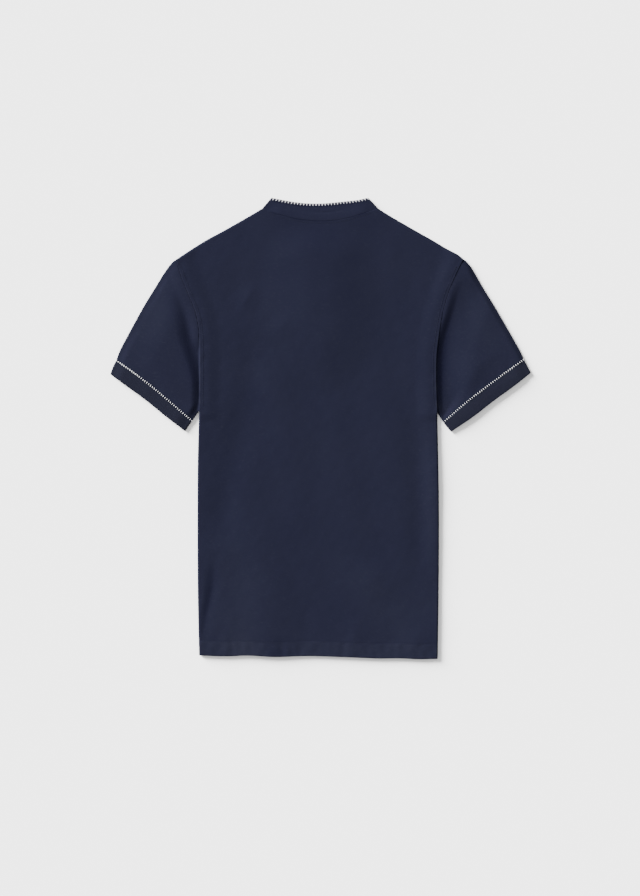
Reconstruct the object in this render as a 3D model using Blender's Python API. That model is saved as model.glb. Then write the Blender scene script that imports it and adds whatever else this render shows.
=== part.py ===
"""Mandarin collar shirt laid flat with its back up.

X runs across the shirt, Y from hem to neck, Z up from the surface it rests on.
Every size below is in millimetres; the meshes are written in metres.
Each panel is a wall: an outer surface over an outline, moved inward by the cloth.
"""
import math

import bpy
import numpy as np

MM = 0.001

# Cloth and bands
CLOTH = 1.1
BAND = 1.6
HEM_WALL = 1.9
HEM_DEPTH = 22.5
HEM_WORN = 0.4
SEAM_GAP = 0.3

# Heights above the surface the shirt rests on
SEAM_LEVEL = 2.45
ROLL = 2.4
BACK_LEVEL = 4.7
NECK_LEVEL = 5.0
ARMHOLE_LEVEL = 5.65
BACK_LOWEST = 3.1
BACK_HIGHEST = 6.0
HEM_LEVEL = 4.6

# Where the rolled side seam opens into the armhole, and the shoulder into the neck
UNDERARM_SHUT_Y = 18.0
UNDERARM_OPEN_Y = 27.0
SHOULDER_RAMP = 9.0
NECK_RAMP = 8.0

# Sleeves
SLEEVE_TUCK = 8.0
SLEEVE_SEAT = 1.4
SLEEVE_EDGE = 2.8
SLEEVE_JOINT_EDGE = 3.3
SLEEVE_LEAST = 2.7
SLEEVE_TUCK_TOP = 4.2

# Cuffs
CUFF_EDGE = 3.6
CUFF_LEVEL = 4.7

# Collar
COLLAR_LAP = 5.0
COLLAR_FRONT_HEIGHT = 28.0
COLLAR_FOLD_RADIUS = 1.75
COLLAR_SEAT = 1.9
COLLAR_TOP_AT_SEAM = 3.55
COLLAR_TOP_AT_EDGE = 2.1
COLLAR_END_X = 1.0
COLLAR_CLEAR = 0.4
COLLAR_CORNER = 9.0
COLLAR_UNLAPPED = 11.0
FRONT_FOLD_CLEAR = 1.1
BACK_FOLD_CLEAR = 0.5
COLLAR_END_STEPS = (9.0, 5.0, 2.2, 0.6, 0.0)

# Placket and buttons
STRAP_WIDTH = 28.0
UNDER_STRAP_WIDTH = 36.0
SLOT_BOTTOM_Y = 146.0
FRONT_NECK_Y = 291.0
FRONT_NECK_STEPS = (0.9, 4.0, 11.0, 24.0, 44.0, 78.0)
BUTTON_YS = (266.0, 218.0, 170.0)
BUTTON_RADIUS = 5.75
BUTTON_THICK = 2.0
BUTTON_HOLE_RADIUS = 0.85
BUTTON_HOLE_REACH = 1.6
BUTTON_LIFT = 2.3

NAVY = (0.020, 0.024, 0.050)
CUFF_NAVY = (0.024, 0.026, 0.046)
BUTTON_NAVY = (0.012, 0.014, 0.026)

# Outline rows: x, y
LEFT_EDGE = (
    (-190.7, -355.9), (-192.1, -300.0), (-193.3, -143.0), (-192.1, -18.0),
    (-190.7, 22.8), (-189.9, 76.0), (-189.9, 129.5), (-191.8, 162.0),
    (-197.3, 185.5), (-205.6, 206.0), (-216.9, 233.9), (-227.1, 264.5))
RIGHT_EDGE = (
    (183.6, -361.3), (184.9, -269.0), (185.3, -96.6), (183.9, -18.0),
    (183.1, 19.6), (181.4, 76.0), (182.0, 117.0), (186.1, 149.9),
    (191.5, 181.3), (200.3, 212.7), (211.7, 240.2), (223.8, 265.2))
HEM = (
    (-190.7, -355.9), (-151.0, -357.5), (-113.3, -356.2), (-75.6, -358.3),
    (-19.1, -357.0), (37.4, -358.7), (94.0, -360.8), (131.6, -360.8),
    (150.5, -361.9), (183.6, -361.3))
LEFT_SHOULDER = (
    (-227.1, 264.5), (-219.4, 270.0), (-200.3, 282.6), (-180.0, 295.2),
    (-151.1, 310.9), (-118.0, 329.7), (-92.1, 344.8))
RIGHT_SHOULDER = (
    (90.5, 344.8), (115.5, 329.7), (148.0, 310.9), (175.8, 295.2),
    (196.8, 282.6), (218.9, 270.0), (223.8, 265.2))
BACK_NECK = (
    (-92.1, 344.8), (-70.1, 337.1), (-48.1, 330.5), (-24.6, 326.4),
    (-1.0, 324.8), (22.5, 326.1), (46.1, 330.5), (64.9, 336.4), (90.5, 344.8))
COLLAR_TOP = (
    (-77.2, 361.7), (-56.8, 357.6), (-37.9, 354.5), (-19.1, 352.8),
    (-0.2, 352.6), (18.6, 353.9), (37.4, 355.9), (56.3, 357.8), (74.8, 361.7))

# Sleeve rows: x, y
LEFT_SLEEVE_TOP = (
    (-217.9, 263.4), (-226.6, 261.8), (-234.5, 256.8), (-244.1, 244.9),
    (-259.9, 219.8), (-275.5, 194.7), (-289.7, 169.6), (-303.4, 144.4),
    (-316.4, 119.3), (-320.8, 107.1))
LEFT_SLEEVE_UNDER = ((-183.0, 35.0), (-190.7, 27.5), (-201.4, 11.8))
LEFT_JOINT = (
    (-320.8, 107.1), (-291.5, 86.4), (-260.1, 62.0), (-228.7, 35.3), (-201.4, 11.8))
LEFT_CUFF_TOP = ((-320.8, 107.1), (-327.0, 94.2), (-330.1, 85.1))
LEFT_CUFF_UNDER = ((-201.4, 11.8), (-207.5, 3.5), (-212.8, -4.2))
LEFT_MOUTH = (
    (-330.1, 85.1), (-308.4, 69.1), (-274.0, 44.0), (-243.0, 18.8), (-212.8, -4.2))
RIGHT_SLEEVE_TOP = (
    (214.6, 264.1), (223.3, 262.5), (231.8, 256.8), (240.1, 244.9),
    (254.9, 219.8), (270.4, 194.7), (285.3, 169.6), (299.8, 144.4),
    (313.8, 119.3), (318.8, 108.4))
RIGHT_SLEEVE_UNDER = ((175.4, 33.0), (183.1, 25.0), (192.4, 9.4))
RIGHT_JOINT = (
    (318.8, 108.4), (289.4, 87.1), (258.0, 63.6), (226.6, 39.2), (192.4, 9.4))
RIGHT_CUFF_TOP = ((318.8, 108.4), (326.3, 94.2), (329.9, 87.4))
RIGHT_CUFF_UNDER = ((192.4, 9.4), (198.5, 2.0), (204.6, -5.2))
RIGHT_MOUTH = (
    (329.9, 87.4), (306.9, 69.1), (272.5, 44.0), (240.0, 18.8), (204.6, -5.2))

# Fold rows along each crest or trough: x, y, half width, height
BACK_FOLDS = (
    ((-98, 150, 22, 0.0), (-112, 70, 26, -0.9), (-132, -30, 28, -1.1),
     (-154, -135, 24, -0.8), (-160, -190, 20, 0.0)),
    ((-70, -120, 40, 0.0), (-84, -200, 42, 0.7), (-86, -290, 36, 1.1), (-84, -356, 34, 1.2)),
    ((-170, -196, 7, 0.0), (-172, -240, 8, -1.0), (-178, -280, 8, -0.9), (-187, -330, 7, -0.3)),
    ((176, 30, 14, 0.0), (178, -60, 16, 0.9), (178, -170, 16, 0.8), (176, -240, 16, 0.0)),
    ((150, 40, 16, 0.0), (154, -60, 18, -0.7), (156, -200, 18, -0.6), (150, -260, 18, 0.0)),
    ((30, -210, 26, 0.0), (84, -236, 28, 0.8), (120, -262, 26, 0.0)),
    ((-70, 176, 18, 0.0), (-58, 164, 20, 0.7), (-40, 146, 18, 0.0)),
    ((-130, 220, 18, 0.0), (-114, 205, 20, 0.7), (-96, 196, 18, 0.0)),
    ((60, -330, 26, 0.4), (110, -336, 22, -0.5), (150, -336, 20, 0.5)))


def smooth(t):
    """Ramp from 0 to 1 as t runs from 0 to 1, level at both ends."""
    t = np.clip(t, 0.0, 1.0)
    return t * t * (3.0 - 2.0 * t)


def roll(distance):
    """Height share of a quarter round edge at a distance inward from it."""
    share = np.clip(distance / ROLL, 0.0, 1.0)
    return np.sqrt(1.0 - (1.0 - share) ** 2)


def lengths(points):
    """Length run along a row of points, from 0 to 1."""
    steps = np.linalg.norm(np.diff(points, axis=0), axis=1)
    run = np.concatenate(([0.0], np.cumsum(steps)))
    return run / run[-1]


def path(rows, shares):
    """Points at shares of the length of a smooth curve through the rows."""
    knots = np.array(rows, dtype=float)
    run = lengths(knots)
    slope = np.gradient(knots, run, axis=0, edge_order=1)
    shares = np.clip(np.asarray(shares, dtype=float), 0.0, 1.0)
    span = np.clip(np.searchsorted(run, shares, side="right") - 1, 0, len(run) - 2)
    width = (run[span + 1] - run[span])[:, None]
    t = ((shares - run[span])[:, None]) / width
    start, end = knots[span], knots[span + 1]
    lead, trail = slope[span] * width, slope[span + 1] * width
    return (start * (2 * t ** 3 - 3 * t ** 2 + 1) + lead * (t ** 3 - 2 * t ** 2 + t)
            + end * (3 * t ** 2 - 2 * t ** 3) + trail * (t ** 3 - t ** 2))


def dense(*tables):
    """One fine run of points through several tables that meet end to end."""
    pieces = [path(rows, np.linspace(0.0, 1.0, 61)) for rows in tables]
    return np.concatenate([pieces[0]] + [piece[1:] for piece in pieces[1:]])


def y_at(line, x):
    """Height in Y of a line that runs along X."""
    return np.interp(x, line[:, 0], line[:, 1])


def x_at(line, y):
    """Place in X of a line that runs along Y."""
    return np.interp(y, line[:, 1], line[:, 0])


def coons(bottom, top, left, right, u, v):
    """Patch over four boundary curves; bottom and top hold u points, left and right v."""
    u = u[None, :, None]
    v = v[:, None, None]
    ruled_v = (1 - v) * bottom[None] + v * top[None]
    ruled_u = (1 - u) * left[:, None] + u * right[:, None]
    corners = ((1 - u) * (1 - v) * bottom[0] + u * (1 - v) * bottom[-1]
               + (1 - u) * v * top[0] + u * v * top[-1])
    return ruled_v + ruled_u - corners


def fold_height(x, y, folds):
    """Sum of soft crests and troughs, each a bell across the nearest point of its rows."""
    total = np.zeros_like(x)
    for rows in folds:
        knots = np.array(rows, dtype=float)
        nearest = np.full_like(x, 1e9)
        added = np.zeros_like(x)
        for (xa, ya, wa, ha), (xb, yb, wb, hb) in zip(knots[:-1], knots[1:]):
            along = ((x - xa) * (xb - xa) + (y - ya) * (yb - ya)) / ((xb - xa) ** 2 + (yb - ya) ** 2)
            along = np.clip(along, 0.0, 1.0)
            away = np.hypot(x - xa - along * (xb - xa), y - ya - along * (yb - ya))
            width = wa + along * (wb - wa)
            height = ha + along * (hb - ha)
            closer = away < nearest
            nearest = np.where(closer, away, nearest)
            added = np.where(closer, height * np.exp(-(away / width) ** 2), added)
        total += added
    return total


def strap_rise(x, y):
    """Rise of the placket and the front panel over each button, none 18 mm away from it."""
    rise = np.zeros_like(x)
    for button_y in BUTTON_YS:
        away = np.hypot(x, y - button_y)
        rise = np.maximum(rise, BUTTON_LIFT * (1.0 - smooth((away - 8.0) / 10.0)))
    return rise


def placket_swell(x, y):
    """Long low swell of the back over the row of buttons, shorter towards the neck."""
    above = np.maximum(y - BUTTON_YS[0], 0.0) * 1.5
    below = np.maximum(BUTTON_YS[-1] - y, 0.0) * 0.8
    away = np.hypot(x, above + below)
    return (BUTTON_LIFT + 0.25) * (1.0 - smooth((away - 8.0) / 92.0))


def normals(grid, wrap):
    """Unit normals of a grid of points; wrap joins the last column to the first."""
    if wrap:
        across = np.roll(grid, -1, axis=1) - np.roll(grid, 1, axis=1)
    else:
        across = np.gradient(grid, axis=1)
    along = np.gradient(grid, axis=0)
    cross = np.cross(across, along)
    return cross / np.linalg.norm(cross, axis=2, keepdims=True)


def material(name, colour, roughness):
    """Principled material with a plain colour."""
    made = bpy.data.materials.new(name)
    made.use_nodes = True
    shader = made.node_tree.nodes["Principled BSDF"]
    shader.inputs["Base Color"].default_value = (*colour, 1.0)
    shader.inputs["Roughness"].default_value = roughness
    shader.inputs["Metallic"].default_value = 0.0
    return made


def add_object(name, points, faces, shade):
    """Mesh object from points in millimetres, with its material and smooth shading."""
    mesh = bpy.data.meshes.new(name)
    mesh.from_pydata([tuple(point) for point in np.asarray(points) * MM], [], faces)
    mesh.materials.append(shade)
    mesh.shade_smooth()
    mesh.set_sharp_from_angle(angle=math.radians(50))
    made = bpy.data.objects.new(name, mesh)
    bpy.context.scene.collection.objects.link(made)
    return made


def add_wall(name, outer, inner, shade, facing=1, wrap=False, left_out=None):
    """Closed wall between two grids; facing -1 turns the faces, left_out skips cells."""
    rows, columns = outer.shape[:2]
    last = columns if wrap else columns - 1
    cells = []
    for i in range(rows - 1):
        for j in range(last):
            if left_out is not None and left_out[i, j]:
                continue
            k = (j + 1) % columns
            near, far = i * columns, (i + 1) * columns
            for cell in ((near + j, near + k, far + k), (near + j, far + k, far + j)):
                cells.append(cell if facing > 0 else cell[::-1])
    shift = rows * columns
    faces = cells + [tuple(corner + shift for corner in reversed(cell)) for cell in cells]
    edges = {(cell[k], cell[(k + 1) % 3]) for cell in cells for k in range(3)}
    for start, end in sorted(edges):
        if (end, start) not in edges:
            faces.append((end, start, start + shift, end + shift))
    points = np.concatenate((outer.reshape(-1, 3), inner.reshape(-1, 3)))
    used = sorted({corner for face in faces for corner in face})
    index = {corner: place for place, corner in enumerate(used)}
    faces = [tuple(index[corner] for corner in face) for face in faces]
    return add_object(name, points[used], faces, shade)


def spread(*stops):
    """Positions between stops, given as value, count, value, count, ... value."""
    values = [float(stops[0])]
    for count, stop in zip(stops[1::2], stops[2::2]):
        values.extend(np.linspace(values[-1], stop, count + 1)[1:])
    return np.array(values)


# Shares of an edge in millimetres at which a rolled edge needs its points
EDGE_STEPS = (0.0, 0.45, 1.2, 2.4, 5.0, 11.0)
BODY_WIDTH = 380.0
BODY_HEIGHT = 640.0
LEFT_LINE = dense(LEFT_EDGE)
RIGHT_LINE = dense(RIGHT_EDGE)
HEM_LINE = dense(HEM)
BACK_TOP_LINE = dense(LEFT_SHOULDER, BACK_NECK, RIGHT_SHOULDER)
BACK_NECK_LINE = dense(BACK_NECK)
COLLAR_TOP_LINE = dense(COLLAR_TOP)
TIP_LEFT, TIP_RIGHT = LEFT_EDGE[-1], RIGHT_EDGE[-1]
SIDE_NECK_LEFT, SIDE_NECK_RIGHT = BACK_NECK[0], BACK_NECK[-1]


def front_neck_line():
    """Front neckline: a quarter oval from each side neck down to centre front."""
    turn = np.radians(np.linspace(0.0, 90.0, 46))
    points = []
    for (x, y), order in ((SIDE_NECK_LEFT, 1), (SIDE_NECK_RIGHT, -1)):
        half = np.column_stack((x * np.cos(turn), y - (y - FRONT_NECK_Y) * np.sin(turn)))
        points.append(half[::order])
    return np.concatenate((points[0], points[1][1:]))


FRONT_NECK_LINE = front_neck_line()
FRONT_TOP_LINE = np.concatenate((
    dense(LEFT_SHOULDER)[:-1], FRONT_NECK_LINE, dense(RIGHT_SHOULDER)[1:]))


def body_columns(inner_stops):
    """Shares across the body: close at both edges and at the side necks."""
    edge = np.array(EDGE_STEPS) / BODY_WIDTH
    return np.concatenate((edge[:-1], spread(edge[-1], *inner_stops, 1.0 - edge[-1]), (1.0 - edge[:-1])[::-1]))


def across_share(x):
    """Share across the top line of the body at which x lies."""
    return (x - TIP_LEFT[0]) / (TIP_RIGHT[0] - TIP_LEFT[0])


def up_share(y):
    """Share up the side of the body at which y lies."""
    return (y - LEFT_EDGE[0][1]) / (TIP_LEFT[1] - LEFT_EDGE[0][1])


def body_grid(u, v, top_line, top_x):
    """Points of a body panel in X and Y over its hem, sides and top line."""
    hem_x = LEFT_EDGE[0][0] + u * (RIGHT_EDGE[0][0] - LEFT_EDGE[0][0])
    left_y = LEFT_EDGE[0][1] + v * (TIP_LEFT[1] - LEFT_EDGE[0][1])
    right_y = RIGHT_EDGE[0][1] + v * (TIP_RIGHT[1] - RIGHT_EDGE[0][1])
    bottom = np.column_stack((hem_x, y_at(HEM_LINE, hem_x)))
    top = np.column_stack((top_x, y_at(top_line, top_x)))
    left = np.column_stack((x_at(LEFT_LINE, left_y), left_y))
    right = np.column_stack((x_at(RIGHT_LINE, right_y), right_y))
    return coons(bottom, top, left, right, u, v)


def edge_shut(grid, u, v):
    """How far each point is drawn to the seam level, 0 away from the rolled seams to 1 on them."""
    side_y = grid[:, :1, 1] + 0.0 * grid[:, :, 1]
    side_shut = 1.0 - smooth((side_y - UNDERARM_SHUT_Y) / (UNDERARM_OPEN_Y - UNDERARM_SHUT_Y))
    from_left = grid[:, :, 0] - grid[:, :1, 0]
    from_right = grid[:, -1:, 0] - grid[:, :, 0]
    top_x = grid[-1:, :, 0] + 0.0 * grid[:, :, 0]
    from_tip = np.minimum(top_x - TIP_LEFT[0], TIP_RIGHT[0] - top_x)
    from_neck = np.maximum(SIDE_NECK_LEFT[0] - top_x, top_x - SIDE_NECK_RIGHT[0])
    top_shut = smooth(from_tip / SHOULDER_RAMP) * smooth(from_neck / NECK_RAMP)
    from_top = 0.87 * (grid[-1:, :, 1] - grid[:, :, 1])
    shut = np.maximum(side_shut * (1.0 - roll(np.minimum(from_left, from_right))),
                      top_shut * (1.0 - roll(from_top)))
    return shut, side_shut, top_shut


def edge_normals(grid, facing, side_shut, top_shut):
    """Normals turned level along the parts of the edge that are rolled shut."""
    unit = normals(grid, False) * facing
    up = np.array((0.0, 0.0, float(facing)))
    for edge, shut, outward in ((np.s_[:, 0], side_shut[:, 0], (-1.0, 0.0, 0.0)),
                                (np.s_[:, -1], side_shut[:, -1], (1.0, 0.0, 0.0)),
                                (np.s_[-1, :], top_shut[-1, :], (0.0, 1.0, 0.0))):
        mixed = shut[:, None] * np.array(outward) + (1.0 - shut[:, None]) * up
        unit[edge] = mixed / np.linalg.norm(mixed, axis=1, keepdims=True)
    return unit


def back_height(x, y):
    """Height of the back panel's upper face away from its rolled edges."""
    from_hem = y - y_at(HEM_LINE, x)
    height = BACK_LEVEL + fold_height(x, y, BACK_FOLDS)
    height = np.clip(height, BACK_LOWEST, BACK_HIGHEST)
    in_hem = 1.0 - smooth((from_hem - HEM_DEPTH + 1.5) / 3.0)
    hem_height = np.maximum(height - BACK_LEVEL, -0.25) * 0.8 + HEM_LEVEL + 0.25
    height = height + in_hem * (hem_height - height)
    height = height - 0.35 * np.exp(-((from_hem - HEM_DEPTH - 0.6) / 1.6) ** 2)
    centre = 1.0 - smooth((np.hypot(x / 115.0, (y - 265.0) / 135.0) - 0.55) / 0.6)
    height = height + centre * (NECK_LEVEL - height)
    from_armhole = np.minimum(x - x_at(LEFT_LINE, y), x_at(RIGHT_LINE, y) - x)
    over_sleeve = smooth((y - 8.0) / 16.0) * (1.0 - smooth((from_armhole - 11.0) / 24.0))
    height = height + over_sleeve * (ARMHOLE_LEVEL - height)
    return height + placket_swell(x, y)


def add_back(shade):
    """Back panel: outer face over the outline, rolled down to the side and shoulder seams."""
    neck_left, neck_right = across_share(SIDE_NECK_LEFT[0]), across_share(SIDE_NECK_RIGHT[0])
    near = 6.0 / (TIP_RIGHT[0] - TIP_LEFT[0])
    u = body_columns((4, neck_left - near, 1, neck_left, 1, neck_left + near, 8, neck_right - near,
                      1, neck_right, 1, neck_right + near, 4))
    top = np.array(EDGE_STEPS[::-1]) / BODY_HEIGHT
    v = np.concatenate((
        spread(0.0, 1, up_share(-354.9), 2, up_share(-335.2), 1, up_share(-332.8), 1,
               up_share(-326.0), 16, up_share(10.0), 1, up_share(18.0), 1, up_share(22.5), 1,
               up_share(27.0), 1, up_share(34.0), 10, 1.0 - top[0]), 1.0 - top[1:]))
    flat = body_grid(u, v, BACK_TOP_LINE, TIP_LEFT[0] + u * (TIP_RIGHT[0] - TIP_LEFT[0]))
    x, y = flat[:, :, 0], flat[:, :, 1]
    shut, side_shut, top_shut = edge_shut(flat, u, v)
    level = back_height(x, y)
    seam = SEAM_LEVEL + SEAM_GAP / 2
    z = level - shut * (level - seam)
    side = np.minimum(x - x[:, :1], x[:, -1:] - x)
    worn = HEM_WORN * smooth((side[0] - 1.2) / 5.0)
    z[0] -= worn
    outer = np.dstack((x, y, z))
    from_hem = y - y_at(HEM_LINE, x)
    in_hem = (1.0 - smooth((from_hem - HEM_DEPTH) / 2.0)) * smooth((side - 1.2) / 5.0)
    thick = CLOTH + in_hem * (HEM_WALL - CLOTH)
    thick[0] -= worn
    unit = edge_normals(outer, 1, side_shut, top_shut)
    inner = outer - unit * thick[:, :, None]
    return add_wall("back", outer, inner, shade)


def add_front(shade):
    """Front panel: level below, rolled up to the seams, with a slot for the placket."""
    half_slot = STRAP_WIDTH / 2 + SEAM_GAP
    neck_left, neck_right = across_share(SIDE_NECK_LEFT[0]), across_share(SIDE_NECK_RIGHT[0])
    slot_left, slot_right = across_share(-half_slot), across_share(half_slot)
    beside = 7.0 / (TIP_RIGHT[0] - TIP_LEFT[0])
    u = body_columns((2, neck_left - beside, 1, neck_left, len(FRONT_NECK_STEPS), slot_left, 2,
                      slot_right, len(FRONT_NECK_STEPS), neck_right, 1, neck_right + beside, 2))
    top_x = TIP_LEFT[0] + u * (TIP_RIGHT[0] - TIP_LEFT[0])
    first = int(np.argmin(abs(u - neck_left)))
    last = int(np.argmin(abs(u - neck_right)))
    for step, inward in enumerate(FRONT_NECK_STEPS[:-1]):
        top_x[first + 1 + step] = SIDE_NECK_LEFT[0] + inward
        top_x[last - 1 - step] = SIDE_NECK_RIGHT[0] - inward
    top = np.array(EDGE_STEPS[::-1]) / (BODY_HEIGHT - 40.0)
    v = np.concatenate((
        spread(0.0, 1, up_share(-335.2), 1, up_share(-332.8), 6, up_share(10.0), 1, up_share(18.0),
               1, up_share(22.5), 1, up_share(27.0), 1, up_share(34.0), 2, up_share(126.0), 7,
               1.0 - top[0]), 1.0 - top[1:]))
    flat = body_grid(u, v, FRONT_TOP_LINE, top_x)
    columns = [int(np.argmin(abs(u - slot_left))), int(np.argmin(abs(u - slot_right)))]
    middle = (columns[0] + columns[1]) // 2
    foot = int(np.argmin(abs(flat[:, middle, 1] - SLOT_BOTTOM_Y)))
    for column, x in ((columns[0], -half_slot), (middle, 0.0), (columns[1], half_slot)):
        flat[:, column, 0] = x
        flat[foot, column, 1] = SLOT_BOTTOM_Y
    x, y = flat[:, :, 0], flat[:, :, 1]
    shut, side_shut, top_shut = edge_shut(flat, u, v)
    seam = SEAM_LEVEL - SEAM_GAP / 2
    z = np.maximum(shut * seam, strap_rise(x, y))
    outer = np.dstack((x, y, z))
    side = np.minimum(x - x[:, :1], x[:, -1:] - x)
    from_hem = y - y_at(HEM_LINE, x)
    in_hem = (1.0 - smooth((from_hem - HEM_DEPTH) / 2.0)) * smooth((side - 1.2) / 5.0)
    thick = CLOTH + in_hem * (HEM_WALL - CLOTH)
    unit = edge_normals(outer, -1, side_shut, top_shut)
    inner = outer - unit * thick[:, :, None]
    slot = np.zeros((len(v) - 1, len(u) - 1), dtype=bool)
    slot[foot:, columns[0]:columns[1]] = True
    return add_wall("front", outer, inner, shade, facing=-1, left_out=slot)


def ring_places(start_radius, end_radius, width, count):
    """Places round a flattened tube: distance share across and share of the fold, lower then upper."""
    bend = 1.0 - math.sqrt(0.5)
    near = np.array((bend * start_radius, start_radius)) / width
    far = 1.0 - np.array((end_radius, bend * end_radius)) / width
    middle = np.linspace(near[-1], far[0], count + 1)[1:-1]
    lower = np.concatenate((near, middle, far))
    share = np.concatenate(([0.0], lower, [1.0], lower[::-1]))
    half = math.sqrt(0.5)
    drop = np.concatenate(([half, 1.0], np.ones(len(middle)), [1.0, half]))
    turn = np.concatenate(([0.0], -drop, [0.0], drop))
    return share, turn


def tube_grid(start_line, end_line, top_line, under_line, share, v):
    """Points in X and Y round a flattened tube between two end lines and two fold lines."""
    order = np.argsort(share, kind="stable")
    u = share[order]
    patch = coons(start_line(u), end_line(u), top_line(v), under_line(v), u, v)
    grid = np.empty_like(patch)
    grid[:, order] = patch
    return grid


def add_tube(name, flat, turn, low, high, wall, shade, facing):
    """Wall of a flattened tube whose lower face lies at low and upper face at high."""
    centre = (low + high) / 2
    z = centre + turn[None, :] * (high - low) / 2
    outer = np.dstack((flat[:, :, 0], flat[:, :, 1], z))
    unit = normals(outer, True) * facing
    inner = outer - unit * wall
    return add_wall(name, outer, inner, shade, facing=facing, wrap=True)


def fold_distances(flat, share):
    """Distance of each point from the outer fold of its tube, and from the nearer fold."""
    half = len(share) // 2
    width = np.linalg.norm(flat[:, half] - flat[:, 0], axis=1)[:, None]
    from_outer = share[None, :] * width
    return from_outer, np.minimum(from_outer, width - from_outer)


def left_sleeve_level(beyond, from_outer, y):
    """Height of the left sleeve: up from its outer fold, then down into a trough at the body.

    The trough's slope runs wide and far out at the shoulder, and close to the seam below.
    """
    out = smooth(from_outer / 60.0)
    up = smooth((y - 68.0) / 90.0)
    middle, width = 4.0 + 20.0 * up, 19.0 + 8.0 * up
    depth = 3.2 * smooth((228.0 - y) / 118.0)
    trough = depth * (1.0 - smooth((beyond - middle) / width + 0.5))
    return 3.6 + 2.1 * out - trough


def right_sleeve_level(beyond, from_outer, y):
    """Height of the right sleeve: a valley beside the body, then slowly up to its outer fold.

    A narrow strip beside the seam stays high at the shoulder and runs out below it.
    """
    deep = smooth((238.0 - y) / 44.0)
    strip = -4.0 + 7.5 * smooth((y - 124.0) / 66.0)
    valley = deep * smooth((beyond - strip) / 14.0)
    valley = valley * (1.0 - smooth((beyond - strip - 15.0) / 54.0))
    out = (1.0 - smooth((from_outer - 4.0) / 90.0)) * smooth(beyond / 50.0)
    return 5.5 - 0.9 * out - 2.9 * valley


def add_sleeve(name, side, body_line, top_rows, under_rows, joint_rows, shape, shade):
    """Sleeve tube from its tucked end, between the body panels, out to the cuff joint."""
    share, turn = ring_places(SLEEVE_EDGE / 2, SLEEVE_EDGE / 2, 195.0, 11)
    reach = (0.0, 4.5, 9.5, 14.0, 19.0, 27.0, 38.0, 52.0, 70.0, 92.0, 116.0, 140.0, 164.0, 186.0, 199.0)
    v = np.array(reach) / reach[-1]

    def tuck_line(u):
        top_y, under_y = top_rows[0][1], under_rows[0][1]
        y = top_y + u * (under_y - top_y)
        points = np.column_stack((x_at(body_line, y) - side * SLEEVE_TUCK, y))
        points[0], points[-1] = top_rows[0], under_rows[0]
        return points

    flat = tube_grid(tuck_line, lambda u: path(joint_rows, u), lambda w: path(top_rows, w),
                     lambda w: path(under_rows, w), share, v)
    x, y = flat[:, :, 0], flat[:, :, 1]
    beyond = side * (x - x_at(body_line, np.maximum(y, UNDERARM_OPEN_Y)))
    low = SLEEVE_SEAT * (1.0 - smooth((beyond - 1.5) / 7.0))
    edge = SLEEVE_EDGE + smooth(v)[:, None] * (SLEEVE_JOINT_EDGE - SLEEVE_EDGE)
    from_outer, from_fold = fold_distances(flat, share)
    level = shape(beyond, from_outer, y)
    near_joint = 0.7 * smooth((v[:, None] - 0.75) / 0.25)
    level = level + near_joint * (CUFF_LEVEL - level)
    level = np.maximum(level, low + SLEEVE_LEAST)
    out = smooth((beyond - 1.5) / 12.0)
    level = SLEEVE_TUCK_TOP + out * (level - SLEEVE_TUCK_TOP)
    full = smooth((from_fold - SLEEVE_EDGE / 2) / 14.0)
    high = low + edge + full * (level - low - edge)
    return add_tube(name, flat, turn, low, high, CLOTH, shade, -side)


def add_cuff(name, side, joint_rows, top_rows, under_rows, mouth_rows, shade):
    """Doubled cuff tube from the joint to the sleeve's mouth."""
    share, turn = ring_places(CUFF_EDGE / 2, CUFF_EDGE / 2, 152.0, 9)
    depth = 23.0
    v = np.array((SEAM_GAP, 1.6, 8.0, 15.0, 21.8, depth)) / depth
    flat = tube_grid(lambda u: path(joint_rows, u), lambda u: path(mouth_rows, u),
                     lambda w: path(top_rows, w), lambda w: path(under_rows, w), share, v)
    full = smooth((fold_distances(flat, share)[1] - CUFF_EDGE / 2) / 20.0)
    bead = np.array((-0.35, 0.0, 0.15, 0.1, 0.0, -0.25))[:, None]
    high = CUFF_EDGE + full * (CUFF_LEVEL - CUFF_EDGE + bead)
    return add_tube(name, flat, turn, np.zeros_like(high), high, BAND, shade, -side)


def collar_half(lower_line, upper_line, run, shares_up, lap, clear):
    """Rows of a half band between its lower and upper lines, run in millimetres from the fold."""
    length = float(np.linalg.norm(np.diff(lower_line, axis=0), axis=1).sum())
    lower = np.column_stack([np.interp(run / length, lengths(lower_line), lower_line[:, k]) for k in (0, 1)])
    upper = np.column_stack([np.interp(run / length, lengths(upper_line), upper_line[:, k]) for k in (0, 1)])
    rise = upper - lower
    height = np.linalg.norm(rise, axis=1, keepdims=True)
    unit = rise / height
    rows = [lower - unit * lap[:, None], lower + unit * clear[:, None]]
    rows.extend(lower + rise * share for share in shares_up)
    return np.array(rows)


def collar_lap(from_fold, fold_clear):
    """Depth the band is tucked under the panel edge, and where it comes clear of that edge.

    Within COLLAR_UNLAPPED of the fold the band is butted to the edge instead of tucked.
    """
    butted = from_fold <= COLLAR_UNLAPPED
    tucked = COLLAR_LAP * smooth((from_fold - COLLAR_UNLAPPED) / 7.0)
    lap = np.where(butted, -fold_clear, tucked)
    clear = np.where(butted, fold_clear + COLLAR_CLEAR, COLLAR_CLEAR)
    return lap, clear


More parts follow.
